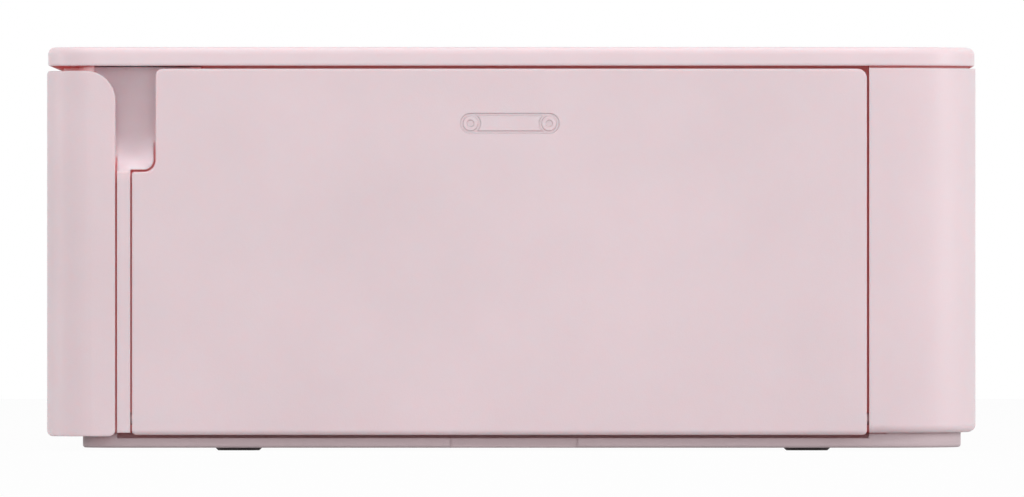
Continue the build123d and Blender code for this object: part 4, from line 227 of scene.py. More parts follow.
def moulded(name, rgb, rough, grain=0.000012, edge_radius=0.0004, wear=0.35, glow=0.0):
    """Injection-moulded plastic: fine spark-eroded grain, faint flow mottling, rubbed edges.

    With glow it passes light on below its surface, and gets a painted reddish shade and glow in narrow gaps.
    """
    g = Graph(name)
    low, high = linear(scaled(rgb, 1 - MOTTLE)), linear(scaled(rgb, 1 + MOTTLE))
    body = g.mix(g.ramp(g.noise(38, 4), 0.3, 0.7), low, high)
    rounded = g.bevelled(edge_radius)
    edge = g.edge_mask(rounded)
    breakup = g.ramp(g.noise(420, 3), 0.42, 0.62)
    rub = g.math("MULTIPLY", g.math("MULTIPLY", edge, breakup), wear)
    g.set("Base Color", g.mix(rub, body, linear(scaled(rgb, 1.09))))
    patch = g.ramp(g.noise(160, 3), 0.3, 0.7, rough - 0.035, rough + 0.035)
    shine = g.math("MULTIPLY", rub, -0.2)
    g.set("Roughness", g.math("ADD", patch, shine, clamp=True))
    fine = g.math("ADD", g.noise(5200, 2), g.math("MULTIPLY", g.noise(1500, 2), 0.6))
    g.set("Normal", g.bump(fine, grain, 1.0, rounded))
    g.set("IOR", PLASTIC_IOR)
    if glow:
        g.set("Subsurface Weight", glow)
        g.set("Subsurface Radius", GLOW_RADII)
        g.set("Subsurface Scale", GLOW_DEPTH)
        # painted reddish shade and glow in narrow gaps
        g.painted_seam_shade_and_glow()
    return g


def metal(name, rgb, rough, kind="sheet", axis="X"):
    """Zinc-plated sheet, bar ground along an axis, or turned metal."""
    g = Graph(name)
    rounded = g.bevelled(METAL_EDGE)
    edge = g.edge_mask(rounded)
    if kind == "sheet":
        tone = g.ramp(g.voronoi(160), 0.0, 0.6)
        height = g.noise(2600, 3)
    elif kind == "ground":
        stretch = {"X": (260, 6000, 6000), "Y": (6000, 260, 6000)}[axis]
        height = g.noise(1.0, 2, vector=g.mapped(stretch))
        tone = g.ramp(height, 0.3, 0.7)
    else:
        height = g.noise(1.0, 2, vector=g.mapped((9000, 400, 400)))
        tone = g.ramp(g.noise(300, 3), 0.3, 0.7)
    body = g.mix(tone, linear(scaled(rgb, 0.93)), linear(scaled(rgb, 1.05)))
    g.set("Base Color", g.mix(g.math("MULTIPLY", edge, 0.5), body, linear(scaled(rgb, 1.18))))
    g.set("Metallic", 1.0)
    varied = g.ramp(g.noise(700, 3), 0.3, 0.7, rough - 0.07, rough + 0.09)
    g.set("Roughness", g.math("SUBTRACT", varied, g.math("MULTIPLY", edge, 0.08), clamp=True))
    g.set("Normal", g.bump(height, METAL_GRAIN, 1.0, rounded))
    return g


def rubber(name, rgb, rough, grain=0.00003, dust=0.35):
    """Matt rubber with a ground or moulded surface and pale dust on its edges."""
    g = Graph(name)
    rounded = g.bevelled(RUBBER_EDGE)
    edge = g.edge_mask(rounded)
    cloud = g.ramp(g.noise(220, 5), 0.45, 0.75)
    worn = g.math("MULTIPLY", g.math("ADD", edge, cloud), dust)
    base = g.mix(g.ramp(g.noise(900, 3), 0.3, 0.7), linear(scaled(rgb, 0.88)), linear(scaled(rgb, 1.08)))
    g.set("Base Color", g.mix(worn, base, linear(scaled(rgb, 1.6))))
    g.set("Roughness", g.ramp(g.noise(1300, 3), 0.3, 0.7, rough - 0.08, rough + 0.1))
    g.set("Normal", g.bump(g.noise(3800, 4), grain, 1.0, rounded))
    g.set("IOR", 1.5)
    return g


def circuit(name, rgb):
    """Circuit board: solder mask over copper tracks, with vias."""
    g = Graph(name)
    x, y, _ = g.axes()
    rounded = g.bevelled(0.0001)
    wander = g.ramp(g.noise(95, 1), 0.46, 0.54)
    lanes_x = g.ramp(g.math("PINGPONG", x, 0.00045), 0.00014, 0.00017)
    lanes_y = g.ramp(g.math("PINGPONG", y, 0.00055), 0.00016, 0.0002)
    lanes_x = g.math("MULTIPLY", lanes_x, wander)
    lanes_y = g.math("MULTIPLY", lanes_y, g.math("SUBTRACT", 1.0, wander))
    track = g.math("ADD", lanes_x, lanes_y)
    keep = g.ramp(g.noise(60, 2), 0.5, 0.56)
    via = g.math("MULTIPLY", g.ramp(g.voronoi(420), 0.16, 0.12), keep)
    mask = g.mix(track, linear(scaled(rgb, 0.92)), linear(scaled(rgb, 1.35)))
    mask = g.mix(via, mask, linear(VIA))
    g.set("Base Color", mask)
    g.set("Roughness", g.ramp(g.noise(400, 2), 0.3, 0.7, 0.26, 0.4))
    height = g.math("ADD", track, via)
    g.set("Normal", g.bump(height, 0.00003, 1.0, rounded))
    return g


WINDOW = (-0.0675, 0.0035, -0.0255, 0.0255)
PRINT_EDGE = 0.0002


def glass_panel(name, window):
    """Display cover: black border print under glass, and a faintly paler unlit screen in its window."""
    g = Graph(name)
    x, y, _ = g.axes()
    x0, x1, y0, y1 = window
    inside = g.math("MULTIPLY", g.between(x, x0, x1, PRINT_EDGE), g.between(y, y0, y1, PRINT_EDGE))
    dust = g.ramp(g.noise(2400, 5), 0.68, 0.8)
    smear = g.ramp(g.noise(45, 4), 0.4, 0.7)
    screen = g.mix(inside, linear(GLASS_BORDER), linear(GLASS_WINDOW))
    screen = g.mix(g.math("MULTIPLY", dust, 0.25), screen, linear(GLASS_DUST))
    g.set("Base Color", screen)
    dulled = g.math("ADD", 0.045, g.math("MULTIPLY", dust, 0.2))
    g.set("Roughness", g.math("ADD", g.math("MULTIPLY", smear, 0.07), dulled))
    rounded = g.bevelled(0.0003)
    g.set("Normal", g.bump(g.noise(30, 2), 0.00001, 0.4, rounded))
    g.set("IOR", GLASS_IOR)
    g.set("Coat Weight", 0.6)
    g.set("Coat Roughness", 0.03)
    return g


MARK_Y, MARK_Z = -0.0004, 0.0467
MARK_SPREAD, MARK_RADIUS, MARK_GROOVE = 0.0056, 0.00125, 0.00022
MARK_DEPTH = 0.00016
DOOR_FACE = 0.0909


def with_mark(g, rgb):
    """Cuts a plain pictogram, two reels joined by two bars, into the ink door's outer face."""
    x, y, z = g.axes()
    v = g.math("SUBTRACT", z, MARK_Z)
    side = g.math("SUBTRACT", g.math("ABSOLUTE", g.math("SUBTRACT", y, MARK_Y)), MARK_SPREAD)
    reach = g.math("SQRT", g.math("ADD", g.math("MULTIPLY", side, side), g.math("MULTIPLY", v, v)))
    ring = g.math("ABSOLUTE", g.math("SUBTRACT", reach, MARK_RADIUS))
    hub = g.math("SUBTRACT", reach, MARK_RADIUS * 0.24)
    bars = g.math("ABSOLUTE", g.math("SUBTRACT", g.math("ABSOLUTE", v), MARK_RADIUS))
    bars = g.math("MAXIMUM", bars, side)
    shape = g.math("MINIMUM", g.math("MINIMUM", ring, bars), hub)
    depth = g.ramp(shape, MARK_GROOVE * 0.55, MARK_GROOVE * 1.15, 1.0, 0.0)
    depth = g.math("MULTIPLY", depth, g.ramp(x, DOOR_FACE - 0.0001, DOOR_FACE))
    # painted shade: the pictogram's grooves are drawn darker
    shade = g.math("MULTIPLY", depth, 0.45)
    g.set("Base Color", g.mix(shade, g.given("Base Color"), linear(scaled(rgb, 0.93))))
    g.set("Normal", g.bump(g.math("SUBTRACT", 0.0, depth), MARK_DEPTH, 1.0, g.given("Normal")))
    return g


RECESS_LOW, RECESS_HIGH = (0.080, -0.062, 0.038), (0.0915, -0.042, 0.0572)
RECESS_BORDER = 0.002


def with_painted_hollow_light(g, rgb):
    """Painted light: paler plastic inside the finger recess, between the corners of its box."""
    inside = 1.0
    for value, low, high in zip(g.axes(), RECESS_LOW, RECESS_HIGH):
        inside = g.math("MULTIPLY", inside, g.between(value, low, high, RECESS_BORDER))
    # painted light: the recess is drawn paler to stand in for light reaching into it
    g.set("Base Color", g.mix(inside, g.given("Base Color"), linear(scaled(rgb, 1.15))))
    return g


# ---------------------------------------------------------------- mesh helpers
def link(name, bm, material, body, smooth=True):
    """Makes an object of a bmesh, in metres, that rides a body."""
    mesh = bpy.data.meshes.new(name)
    bmesh.ops.recalc_face_normals(bm, faces=bm.faces)
    bm.to_mesh(mesh)
    bm.free()
    obj = bpy.data.objects.new(name, mesh)
    bpy.context.scene.collection.objects.link(obj)
    obj.data.materials.append(material)
    if smooth:
        for polygon in obj.data.polygons:
            polygon.use_smooth = True
        obj.data.set_sharp_from_angle(angle=math.radians(35))
    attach(obj, body)
    return obj


def bevelled_block(bm, low, high, radius):
    """Block between two corners (mm) with rounded edges."""
    verts = bmesh.ops.create_cube(bm, size=1.0)["verts"]
    low, high = Vector(low), Vector(high)
    size, centre = high - low, (high + low) / 2
    for v in verts:
        v.co = Vector((v.co.x * size.x, v.co.y * size.y, v.co.z * size.z)) + centre
    edges = list({e for v in verts for e in v.link_edges})
    if radius > 0:
        bmesh.ops.bevel(bm, geom=edges, offset=radius, segments=2, affect="EDGES", profile=0.5)


def join_rings(bm, lower, upper):
    """Faces between two rings with the same number of corners."""
    n = len(lower)
    for i in range(n):
        j = (i + 1) % n
        bm.faces.new((lower[i], lower[j], upper[j], upper[i]))


def lathe(bm, profile, centre, axis, segments=40):
    """Turns a profile of (radius, distance) pairs (mm) about the X or Z axis through centre."""
    turn = Matrix.Rotation(math.radians(90), 3, "Y") if axis == "X" else Matrix.Identity(3)
    rings = []
    for radius, along in profile:
        ring = []
        for i in range(segments):
            a = 2 * math.pi * i / segments
            point = turn @ Vector((radius * math.cos(a), radius * math.sin(a), along))
            ring.append(bm.verts.new(point + Vector(centre)))
        rings.append(ring)
    for lower, upper in zip(rings, rings[1:]):
        join_rings(bm, lower, upper)
    for ring in (rings[0], rings[-1]):
        bm.faces.new(ring)


def outline_prism(bm, points, z0, z1, centre):
    """Closed outline (mm) about centre, raised from z0 to z1."""
    lower = [bm.verts.new(Vector((u, v, z0)) + centre) for u, v in points]
    upper = [bm.verts.new(Vector((u, v, z1)) + centre) for u, v in points]
    bm.faces.new(lower)
    bm.faces.new(upper)
    join_rings(bm, lower, upper)


def in_metres(bm):
    bmesh.ops.scale(bm, vec=(MM, MM, MM), verts=bm.verts)
    return bm


def arc(radius, start, end, steps):
    """Points along an arc about the origin, angles in degrees."""
    out = []
    for i in range(steps + 1):
        a = math.radians(start + (end - start) * i / steps)
        out.append((radius * math.cos(a), radius * math.sin(a)))
    return out


def band(radius, width, start, end, steps):
    """Outline of a stroke that follows an arc."""
    return arc(radius + width / 2, start, end, steps) + arc(radius - width / 2, end, start, steps)


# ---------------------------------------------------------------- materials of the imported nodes
shell = moulded("shell_moulding", SHELL, rough=0.40, glow=0.45)
door = with_mark(moulded("door_moulding", SHELL, rough=0.40, glow=0.45), SHELL)
pull = with_painted_hollow_light(moulded("frame_moulding", SHELL, rough=0.40, glow=0.45), SHELL)
plate = moulded("plate_moulding", PLATE, rough=0.34, grain=0.000008, glow=0.3)
base = moulded("base_moulding", BASE, rough=0.55, grain=0.00002)
inner = moulded("inner_moulding", GRAPHITE, rough=0.52, grain=0.00002, wear=0.5)
keys = moulded("key_moulding", KEY, rough=0.36, grain=0.000006)
lever = moulded("lever_moulding", LEVER, rough=0.4)
acetal = moulded("acetal", ACETAL, rough=0.36, grain=0.000006, edge_radius=0.00015, wear=0.2)
screen = glass_panel("display_glass", WINDOW)
can = metal("display_can", SHEET, rough=0.34)
sheet = metal("zinc_sheet", SHEET, rough=0.32)
pin_steel = metal("pin_steel", PIN, rough=0.5, kind="ground", axis="Y")
ground = metal("ground_steel", STEEL, rough=0.2, kind="ground", axis="X")
motor_can = metal("motor_can", MOTOR, rough=0.26, kind="turned")
brass = metal("cut_brass", BRASS, rough=0.28, kind="turned")
alu = metal("head_aluminium", ALU, rough=0.38, kind="ground", axis="X")
screw_steel = metal("screw_steel", SCREW, rough=0.36, kind="turned")
socket_steel = metal("socket_steel", SOCKET, rough=0.22)
foot_rubber = rubber("foot_rubber", FOOT, rough=0.8)
roller_rubber = rubber("roller_rubber", ROLLER, rough=0.72, grain=0.00002, dust=0.15)
silicone = rubber("key_silicone", SILICONE, rough=0.55, dust=0.05)
ceramic = moulded("head_ceramic", CERAMIC, rough=0.25, grain=0.000004)
board = circuit("circuit_board", BOARD)

FINISH = {
    "top_plate": plate,
    "body_shell": shell,
    "front_frame": pull,
    "bay_panel": shell,
    "lower_tray": base,
    "front_flap": shell,
    "flap_hinge_pins": ground,
    "ink_door": door,
    "door_hinge_pins": pin_steel,
    "rear_cover": shell,
    "eject_lever": lever,
    "display_glass": screen,
    "display_module": can,
    "direction_pad": keys,
    "ok_button": keys,
    "print_button": keys,
    "power_button": keys,
    "back_button": keys,
    "menu_button": keys,
    "key_mat": silicone,
    "key_board": board,
    "chassis_left": sheet,
    "chassis_right": sheet,
    "chassis_base": sheet,
    "gear_plate": sheet,
    "shaft_bushes": acetal,
    "cassette_bay": inner,
    "paper_chute": inner,
    "bay_sleeve": inner,
    "pick_arm": inner,
    "platen_shaft": ground,
    "platen_sleeve": roller_rubber,
    "capstan_roller": ground,
    "pinch_roller": ground,
    "pinch_springs": ground,
    "pick_shaft": ground,
    "pick_roller": roller_rubber,
    "head_arm": sheet,
    "thermal_head": alu,
    "head_strip": ceramic,
    "takeup_spindle": acetal,
    "supply_spindle": acetal,
    "feed_pinion": brass,
    "ribbon_pinion": brass,
    "reduction_gear": acetal,
    "feed_gear": acetal,
    "takeup_gear": acetal,
    "feed_motor": motor_can,
    "ribbon_motor": motor_can,
    "main_board": board,
    "io_board": board,
    "dc_inlet": inner,
    "card_socket": socket_steel,
    "usb_socket": socket_steel,
    "case_screws": screw_steel,
    "chassis_screws": screw_steel,
}
for name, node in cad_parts.items():
    finish = FINISH.get(name, foot_rubber)  # the four feet aren't listed
    for slot in node.material_slots:
        slot.material = finish.mat

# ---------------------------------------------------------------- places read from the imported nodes
bpy.context.view_layer.update()


def node_box(name):
    """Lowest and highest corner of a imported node, in mm."""
    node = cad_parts[name]
    corners = [node.matrix_world @ Vector(c) for c in node.bound_box]
    low = Vector([min(c[i] for c in corners) for i in range(3)]) / MM
    high = Vector([max(c[i] for c in corners) for i in range(3)]) / MM
    return low, high


def node_middle(name):
    low, high = node_box(name)
    return (low + high) / 2


def island_middles(name):
    """Middle of each separate solid of a node, in plan (mm)."""
    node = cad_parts[name]
    bm = bmesh.new()
    bm.from_mesh(node.data)
    bmesh.ops.transform(bm, matrix=node.matrix_world, verts=bm.verts)
    bmesh.ops.remove_doubles(bm, verts=bm.verts, dist=0.01 * MM)
    left = set(bm.verts)
    middles = []
    while left:
        island, edge = set(), [left.pop()]
        while edge:
            v = edge.pop()
            island.add(v)
            for e in v.link_edges:
                other = e.other_vert(v)
                if other in left:
                    left.remove(other)
                    edge.append(other)
        xs, ys = [v.co.x for v in island], [v.co.y for v in island]
        middles.append(((min(xs) + max(xs)) / 2 / MM, (min(ys) + max(ys)) / 2 / MM))
    bm.free()
    return middles


# ---------------------------------------------------------------- key legends, printed on the keys
KEY_TOP = node_box("ok_button")[1].z
PRINT_T, PRINT_SUNK = 0.02, 0.005
print_ink = moulded("legend_ink", INK, rough=0.5, grain=0.000004, edge_radius=0.00002, wear=0.0)


def legend(name, key, outlines):
    """Thin printed figure on a key's top."""
    x, y, _ = node_middle(key)
    bm = bmesh.new()
    for outline in outlines:
        outline_prism(bm, outline, KEY_TOP - PRINT_SUNK, KEY_TOP + PRINT_T, Vector((x, y, 0)))
    link(name, in_metres(bm), print_ink.mat, key, smooth=False)


def triangle(reach, half, turn):
    """Small arrow head at a distance from the middle, pointing outwards."""
    a = math.radians(turn)
    c, s = math.cos(a), math.sin(a)
    points = [(reach + half, 0.0), (reach - half * 0.6, half), (reach - half * 0.6, -half)]
    return [(u * c - v * s, u * s + v * c) for u, v in points]


def bar(u0, u1, v0, v1):
    return [(u0, v0), (u1, v0), (u1, v1), (u0, v1)]


STROKE = 0.42
legend("power_legend", "power_button", [band(1.6, STROKE, -235, 55, 28), bar(-0.21, 0.21, 0.6, 2.2)])
hook = [band(1.5, STROKE, -90, 120, 20), triangle(0.0, 0.9, 180), bar(-1.9, -0.1, -1.71, -1.29)]
legend("back_legend", "back_button", hook)
legend("menu_legend", "menu_button", [bar(-1.7, 1.7, v, v + STROKE) for v in (-1.31, -0.21, 0.89)])
legend("pad_legend", "direction_pad", [triangle(12.5, 1.2, turn) for turn in (0, 90, 180, 270)])
legend("ok_legend", "ok_button", [band(1.3, STROKE, 0, 359.9, 36)])
sheet_and_tray = [bar(-1.6, 1.6, -1.7, -1.3), bar(-2.4, 2.4, -0.9, 0.7), bar(-1.6, 1.6, 1.1, 1.6)]
legend("print_legend", "print_button", sheet_and_tray)

# ---------------------------------------------------------------- screws with cross recesses
HEAD_SIDES = 36
THREAD_STEPS = 24


def level_ring(bm, x, y, z, radius):
    """Corners of a screw head's level circle."""
    angles = [2 * math.pi * i / HEAD_SIDES for i in range(HEAD_SIDES)]
    return [bm.verts.new((x + radius * math.cos(a), y + radius * math.sin(a), z)) for a in angles]


def cross_head(bm, x, y, z_face, down, radius, height, depth):
    """Pan head whose face carries a cross recess; down is -1 for a face that looks down."""
    arm, tip = radius * 0.17, radius * 0.62
    cross = []
    for k in range(4):
        a = math.radians(90 * k)
        c, s = math.cos(a), math.sin(a)
        for u, v in ((arm, -arm), (tip, -arm * 0.8), (tip, arm * 0.8)):
            cross.append((u * c - v * s, u * s + v * c))
    rim = level_ring(bm, x, y, z_face, radius * 0.82)
    cut = [bm.verts.new((x + u, y + v, z_face)) for u, v in cross]
    rim_edges = [bm.edges.new(pair) for pair in zip(rim, rim[1:] + rim[:1])]
    cut_edges = [bm.edges.new(pair) for pair in zip(cut, cut[1:] + cut[:1])]
    bmesh.ops.triangle_fill(bm, edges=rim_edges + cut_edges, use_beauty=True)
    for f in [f for f in bm.faces if all(v in cut for v in f.verts)]:
        bm.faces.remove(f)
    floor = [bm.verts.new((x + u * 0.55, y + v * 0.55, z_face - down * depth)) for u, v in cross]
    join_rings(bm, cut, floor)
    bm.faces.new(floor)
    last = rim
    for wide, deep in ((0.95, 0.16), (1.0, 0.4), (1.0, 1.0)):
        ring = level_ring(bm, x, y, z_face - down * height * deep, radius * wide)
        join_rings(bm, last, ring)
        last = ring
    bm.faces.new(last)


def shank(bm, x, y, z0, z1, radius, pitch):
    """Threaded shank: one helical ridge from z0 to z1."""
    ridge = ((radius * 0.8, 0.0), (radius, pitch * 0.3), (radius * 0.8, pitch * 0.6))
    total = max(1, int((z1 - z0) / pitch)) * THREAD_STEPS
    rows = []
    for i in range(total + 1):
        a = 2 * math.pi * i / THREAD_STEPS
        z = z0 + (z1 - z0) * i / total
        rows.append([bm.verts.new((x + r * math.cos(a), y + r * math.sin(a), z + dz)) for r, dz in ridge])
    for a, b in zip(rows, rows[1:]):
        for k in range(2):
            bm.faces.new((a[k], b[k], b[k + 1], a[k + 1]))


bm = bmesh.new()
case_low = node_box("case_screws")[0].z
for x, y in island_middles("case_screws"):
    cross_head(bm, x, y, case_low, down=-1, radius=2.2, height=1.1, depth=0.9)
    shank(bm, x, y, case_low + 1.05, case_low + 8.65, radius=1.18, pitch=0.9)
screws = link("case_screw_set", in_metres(bm), screw_steel.mat, "casing")
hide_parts("case_screws")
bm = bmesh.new()
chassis_low, chassis_high = node_box("chassis_screws")
for x, y in island_middles("chassis_screws"):
    cross_head(bm, x, y, chassis_high.z, down=1, radius=2.0, height=1.2, depth=0.8)
    shank(bm, x, y, chassis_low.z + 0.05, chassis_high.z - 1.8, radius=0.98, pitch=0.7)
screws = link("chassis_screw_set", in_metres(bm), screw_steel.mat, "casing")
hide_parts("chassis_screws")

# ---------------------------------------------------------------- components on the boards
chip_black = moulded("chip_epoxy", EPOXY, rough=0.5, grain=0.00001, edge_radius=0.0001, wear=0.2)
tin = metal("tinned_leads", TIN, rough=0.3)
cap_sleeve = moulded("capacitor_sleeve", CAPACITOR, rough=0.3, grain=0.000004)
smd_tan = moulded("chip_capacitor", CHIP_PART, rough=0.4, grain=0.000006, edge_radius=0.00005)
socket_white = moulded("socket_nylon", NYLON, rough=0.45, edge_radius=0.0001)


def chip(name, x0, x1, y0, y1, height, leads_each):
    """Chip body on the main board, with gull-wing leads along both long sides."""
    bm = bmesh.new()
    bevelled_block(bm, (x0, y0, TOP + 0.15), (x1, y1, TOP + height), 0.12)
    link(name, in_metres(bm), chip_black.mat, "casing")
    bm = bmesh.new()
    for side, x in ((-1, x0), (1, x1)):
        for i in range(leads_each):
            y = y0 + (y1 - y0) * (i + 0.5) / leads_each
            w = (y1 - y0) / leads_each * 0.22
            root = x - side * 0.05
            knee = root + side * 0.6
            shoulder = (root, 0.7, height * 0.45, height * 0.6)
            leg = (knee, 0.15, 0.02, height * 0.6)
            sole = (knee, 0.6, 0.02, 0.16)
            for start, length, low, high in (shoulder, leg, sole):
                near, far = sorted((start, start + side * length))
                bevelled_block(bm, (near, y - w, TOP + low), (far, y + w, TOP + high), 0.0)
    link(name + "_leads", in_metres(bm), tin.mat, "casing", smooth=False)


BOARD_T = 1.6
PROCESSOR_Y, MEMORY_Y, HEADER_Y = -5.0, -27.0, 16.0
CAPACITOR_YS, CAPACITOR_R = (28.0, 36.0), 3.22
board_low, board_high = node_box("main_board")
TOP = board_low.z + BOARD_T
BOARD_X = (board_low.x + board_high.x) / 2
chip("processor", BOARD_X - 7.05, BOARD_X + 7.05, PROCESSOR_Y - 7.05, PROCESSOR_Y + 7.05, 1.5, 22)
chip("memory", BOARD_X - 4.05, BOARD_X + 6.05, MEMORY_Y - 5.05, MEMORY_Y + 5.05, 1.3, 12)


def on_component(x, y):
    """True where a small part would meet one of the larger components."""
    near_processor = abs(x - BOARD_X) < 8.3 and abs(y - PROCESSOR_Y) < 8.4
    near_memory = abs(x - BOARD_X - 1) < 6.4 and abs(y - MEMORY_Y) < 6.4
    near_row = abs(x - BOARD_X) < 7.3 and 12.6 < y < 40.4
    return near_processor or near_memory or near_row


def scattered(count):
    """A fixed scatter over the board, from a linear congruential rule."""
    seed = 7
    for _ in range(count):
        pair = []
        for _ in range(2):
            seed = (seed * 1103515245 + 12345) % 2147483648
            pair.append((seed >> 8) % 1000 / 1000)
        yield pair


FIELD_X, FIELD_WIDTH = -9.65, 19.0
FIELD_Y, FIELD_LENGTH = -38.0, 76.0
bm = bmesh.new()
ends = bmesh.new()
for k, (u, v) in enumerate(scattered(46)):
    x, y = BOARD_X + FIELD_X + u * FIELD_WIDTH, FIELD_Y + v * FIELD_LENGTH
    if on_component(x, y):
        continue
    turned = k % 2 == 0
    half_x, half_y = (0.4, 0.58) if turned else (0.58, 0.4)
    bevelled_block(bm, (x - half_x, y - half_y, TOP), (x + half_x, y + half_y, TOP + 0.62), 0.06)
    for s in (-1, 1):
        cx, cy = (x, y + s * 0.68) if turned else (x + s * 0.68, y)
        hx, hy = (0.42, 0.16) if turned else (0.16, 0.42)
        bevelled_block(ends, (cx - hx, cy - hy, TOP), (cx + hx, cy + hy, TOP + 0.65), 0.05)
link("chip_parts", in_metres(bm), smd_tan.mat, "casing")
link("chip_part_ends", in_metres(ends), tin.mat, "casing")

bm = bmesh.new()
tops = bmesh.new()
cap_top = board_high.z
waist = [(CAPACITOR_R, TOP + 0.9), (CAPACITOR_R - 0.27, TOP + 1.2), (CAPACITOR_R, TOP + 1.5)]
sleeve = [(CAPACITOR_R, TOP), *waist, (CAPACITOR_R, cap_top - 0.3), (CAPACITOR_R - 0.22, cap_top + 0.02)]
for y in CAPACITOR_YS:
    lathe(bm, sleeve, (BOARD_X, y, 0), "Z")
    lathe(tops, [(2.7, cap_top), (2.7, cap_top + 0.06), (2.5, cap_top + 0.1)], (BOARD_X, y, 0), "Z")
link("capacitor_sleeves", in_metres(bm), cap_sleeve.mat, "casing")
link("capacitor_tops", in_metres(tops), motor_can.mat, "casing")

bm = bmesh.new()
HEADER_HALF, HEADER_TOP = 6.05, TOP + 4.05
for y0, y1 in ((HEADER_Y - 2.05, HEADER_Y - 1.3), (HEADER_Y + 1.3, HEADER_Y + 2.05)):
    bevelled_block(bm, (BOARD_X - HEADER_HALF, y0, TOP), (BOARD_X + HEADER_HALF, y1, HEADER_TOP), 0.15)
for x0, x1 in ((-HEADER_HALF, 0.8 - HEADER_HALF), (HEADER_HALF - 0.8, HEADER_HALF)):
    bevelled_block(bm, (BOARD_X + x0, HEADER_Y - 2.0, TOP), (BOARD_X + x1, HEADER_Y + 2.0, HEADER_TOP), 0.15)
link("harness_header", in_metres(bm), socket_white.mat, "casing")

# ---------------------------------------------------------------- motor end rings
bm = bmesh.new()
for motor in ("feed_motor", "ribbon_motor"):
    low, high = node_box(motor)
    r = (high.y - low.y) / 2
    ring = [(r * 0.34, low.x + 0.02), (r * 0.34, low.x - 0.02), (r * 0.2, low.x - 0.02)]
    lathe(bm, ring, (0, (low.y + high.y) / 2, high.z - r), "X", 32)
link("motor_end_rings", in_metres(bm), brass.mat, "casing")

# ---------------------------------------------------------------- floor, world, lamps and camera
FLOOR_RADIUS, FLOOR_SIDES = 0.9, 96
FLOOR_WHITE = 0.97
FILL_COLOUR, FILL_STRENGTH = (1.0, 0.995, 0.99, 1), 0.2


def direct_rays(tree):
    """1 for rays of the camera, of mirror images and through glass, 0 for the light on matt faces."""
    paths = tree.nodes.new("ShaderNodeLightPath")
    either = paths.outputs["Is Camera Ray"]
    for kind in ("Is Glossy Ray", "Is Transmission Ray"):
        n = tree.nodes.new("ShaderNodeMath")
        n.operation = "MAXIMUM"
        tree.links.new(either, n.inputs[0])
        tree.links.new(paths.outputs[kind], n.inputs[1])
        either = n.outputs[0]
    return either


floor_mesh = bpy.data.meshes.new("floor")
fb = bmesh.new()
bmesh.ops.create_circle(fb, cap_ends=True, radius=FLOOR_RADIUS, segments=FLOOR_SIDES)
fb.to_mesh(floor_mesh)
fb.free()
floor = bpy.data.objects.new("floor", floor_mesh)
bpy.context.scene.collection.objects.link(floor)
fg = Graph("floor_paper")
fg.set("Base Color", fg.mix(fg.ramp(fg.noise(30, 3), 0.3, 0.7), *map(linear, FLOOR_GREYS)))
fg.set("Roughness", 0.9)
fg.set("Specular IOR Level", 0.0)
fg.set("Normal", fg.bump(fg.noise(900, 3), 0.00003))
glow = fg.nodes.new("ShaderNodeEmission")
glow.inputs["Strength"].default_value = 1.0
blend = fg.nodes.new("ShaderNodeMixShader")
fg.links.new(fg.math("MULTIPLY", direct_rays(fg.mat.node_tree), FLOOR_WHITE), blend.inputs[0])
fg.links.new(fg.bsdf.outputs[0], blend.inputs[1])
fg.links.new(glow.outputs[0], blend.inputs[2])
fg.links.new(blend.outputs[0], fg.out.inputs[0])
floor.data.materials.append(fg.mat)

world = bpy.data.worlds.new("studio")
bpy.context.scene.world = world
world.use_nodes = True
sky, joined = world.node_tree.nodes, world.node_tree.links
sky.clear()
fill = sky.new("ShaderNodeBackground")
fill.inputs["Color"].default_value = FILL_COLOUR
fill.inputs["Strength"].default_value = FILL_STRENGTH
white = sky.new("ShaderNodeBackground")
white.inputs["Color"].default_value = (1, 1, 1, 1)
white.inputs["Strength"].default_value = 1.0
sky_mix = sky.new("ShaderNodeMixShader")
joined.new(direct_rays(world.node_tree), sky_mix.inputs[0])
joined.new(fill.outputs[0], sky_mix.inputs[1])
joined.new(white.outputs[0], sky_mix.inputs[2])
joined.new(sky_mix.outputs[0], sky.new("ShaderNodeOutputWorld").inputs[0])


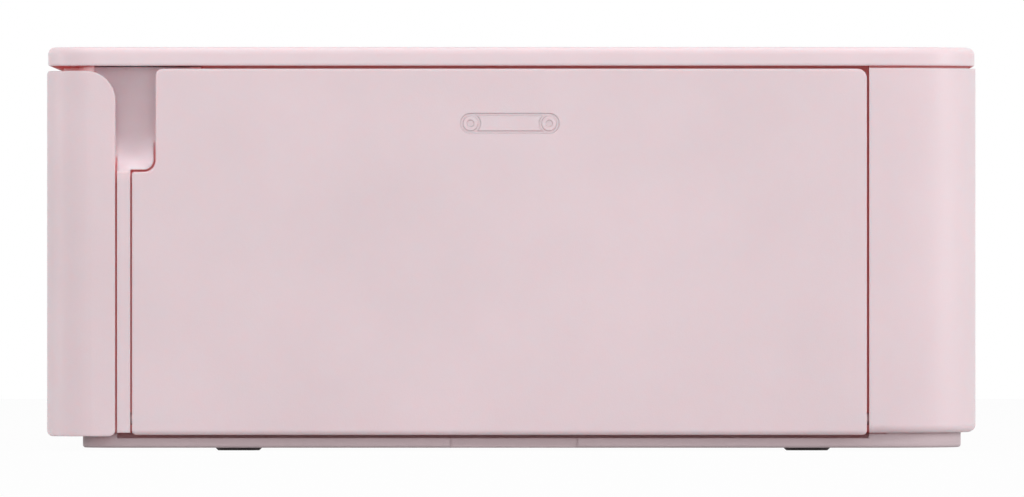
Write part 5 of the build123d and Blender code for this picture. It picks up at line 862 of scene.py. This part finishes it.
def lamp(name, place, aim, power, size, mirrored=True):
    """Soft lamp, not seen by the camera; mirrored says whether shiny faces reflect it."""
    data = bpy.data.lights.new(name, "AREA")
    data.energy = power
    data.shape = "RECTANGLE"
    data.size, data.size_y = size
    obj = bpy.data.objects.new(name, data)
    obj.location = place
    obj.rotation_mode = "QUATERNION"
    obj.rotation_quaternion = (Vector(aim) - Vector(place)).to_track_quat("-Z", "Y")
    obj.visible_camera = False
    obj.visible_glossy = mirrored
    bpy.context.scene.collection.objects.link(obj)


lamp("lamp_rear", (0.57, 0.85, 0.28), (0.06, 0.04, 0.03), 5.3, (0.5, 0.6), mirrored=False)
lamp("lamp_front", (0.62, -0.84, 0.30), (0.06, -0.04, 0.03), 3.8, (0.5, 0.6), mirrored=False)
lamp("lamp_behind", (0.10, 1.05, 0.16), (0.06, 0.04, 0.03), 1.5, (0.25, 0.4))
lamp("lamp_ahead", (0.10, -1.05, 0.16), (0.06, -0.04, 0.03), 1.1, (0.25, 0.4))
lamp("lamp_face", (1.60, 0.0, 0.25), (0.06, 0.0, 0.03), 2.8, (0.6, 0.4))
lamp("lamp_key", (0.85, 0.05, 0.75), (0.06, 0.0, 0.03), 1.0, (0.7, 0.5))
lamp("lamp_top", (0.10, 0.0, 1.05), (0.0, 0.0, 0.05), 5.6, (0.9, 0.9))

camera_data = bpy.data.cameras.new("camera")
camera = bpy.data.objects.new("camera", camera_data)
bpy.context.scene.collection.objects.link(camera)
bpy.context.scene.camera = camera
# the photo's scale and width in pixels, and the rows of the ground and of its middle
PX_PER_MM, PHOTO_WIDTH = 6.99, 1024
GROUND_ROW, MIDDLE_ROW = 450.3, 248.5
LENS, SENSOR = 700.0, 36.0
SHARP_PLANE, CAMERA_Y = 0.080, -0.0001
distance = LENS / SENSOR * PHOTO_WIDTH / PX_PER_MM * MM
camera_data.lens, camera_data.sensor_width = LENS, SENSOR
camera_data.clip_start, camera_data.clip_end = 0.1, 20.0
camera.location = (SHARP_PLANE + distance, CAMERA_Y, (GROUND_ROW - MIDDLE_ROW) / PX_PER_MM * MM)
camera.rotation_euler = (math.radians(90), 0, math.radians(90))

scene = bpy.context.scene
scene.view_settings.view_transform = "Standard"
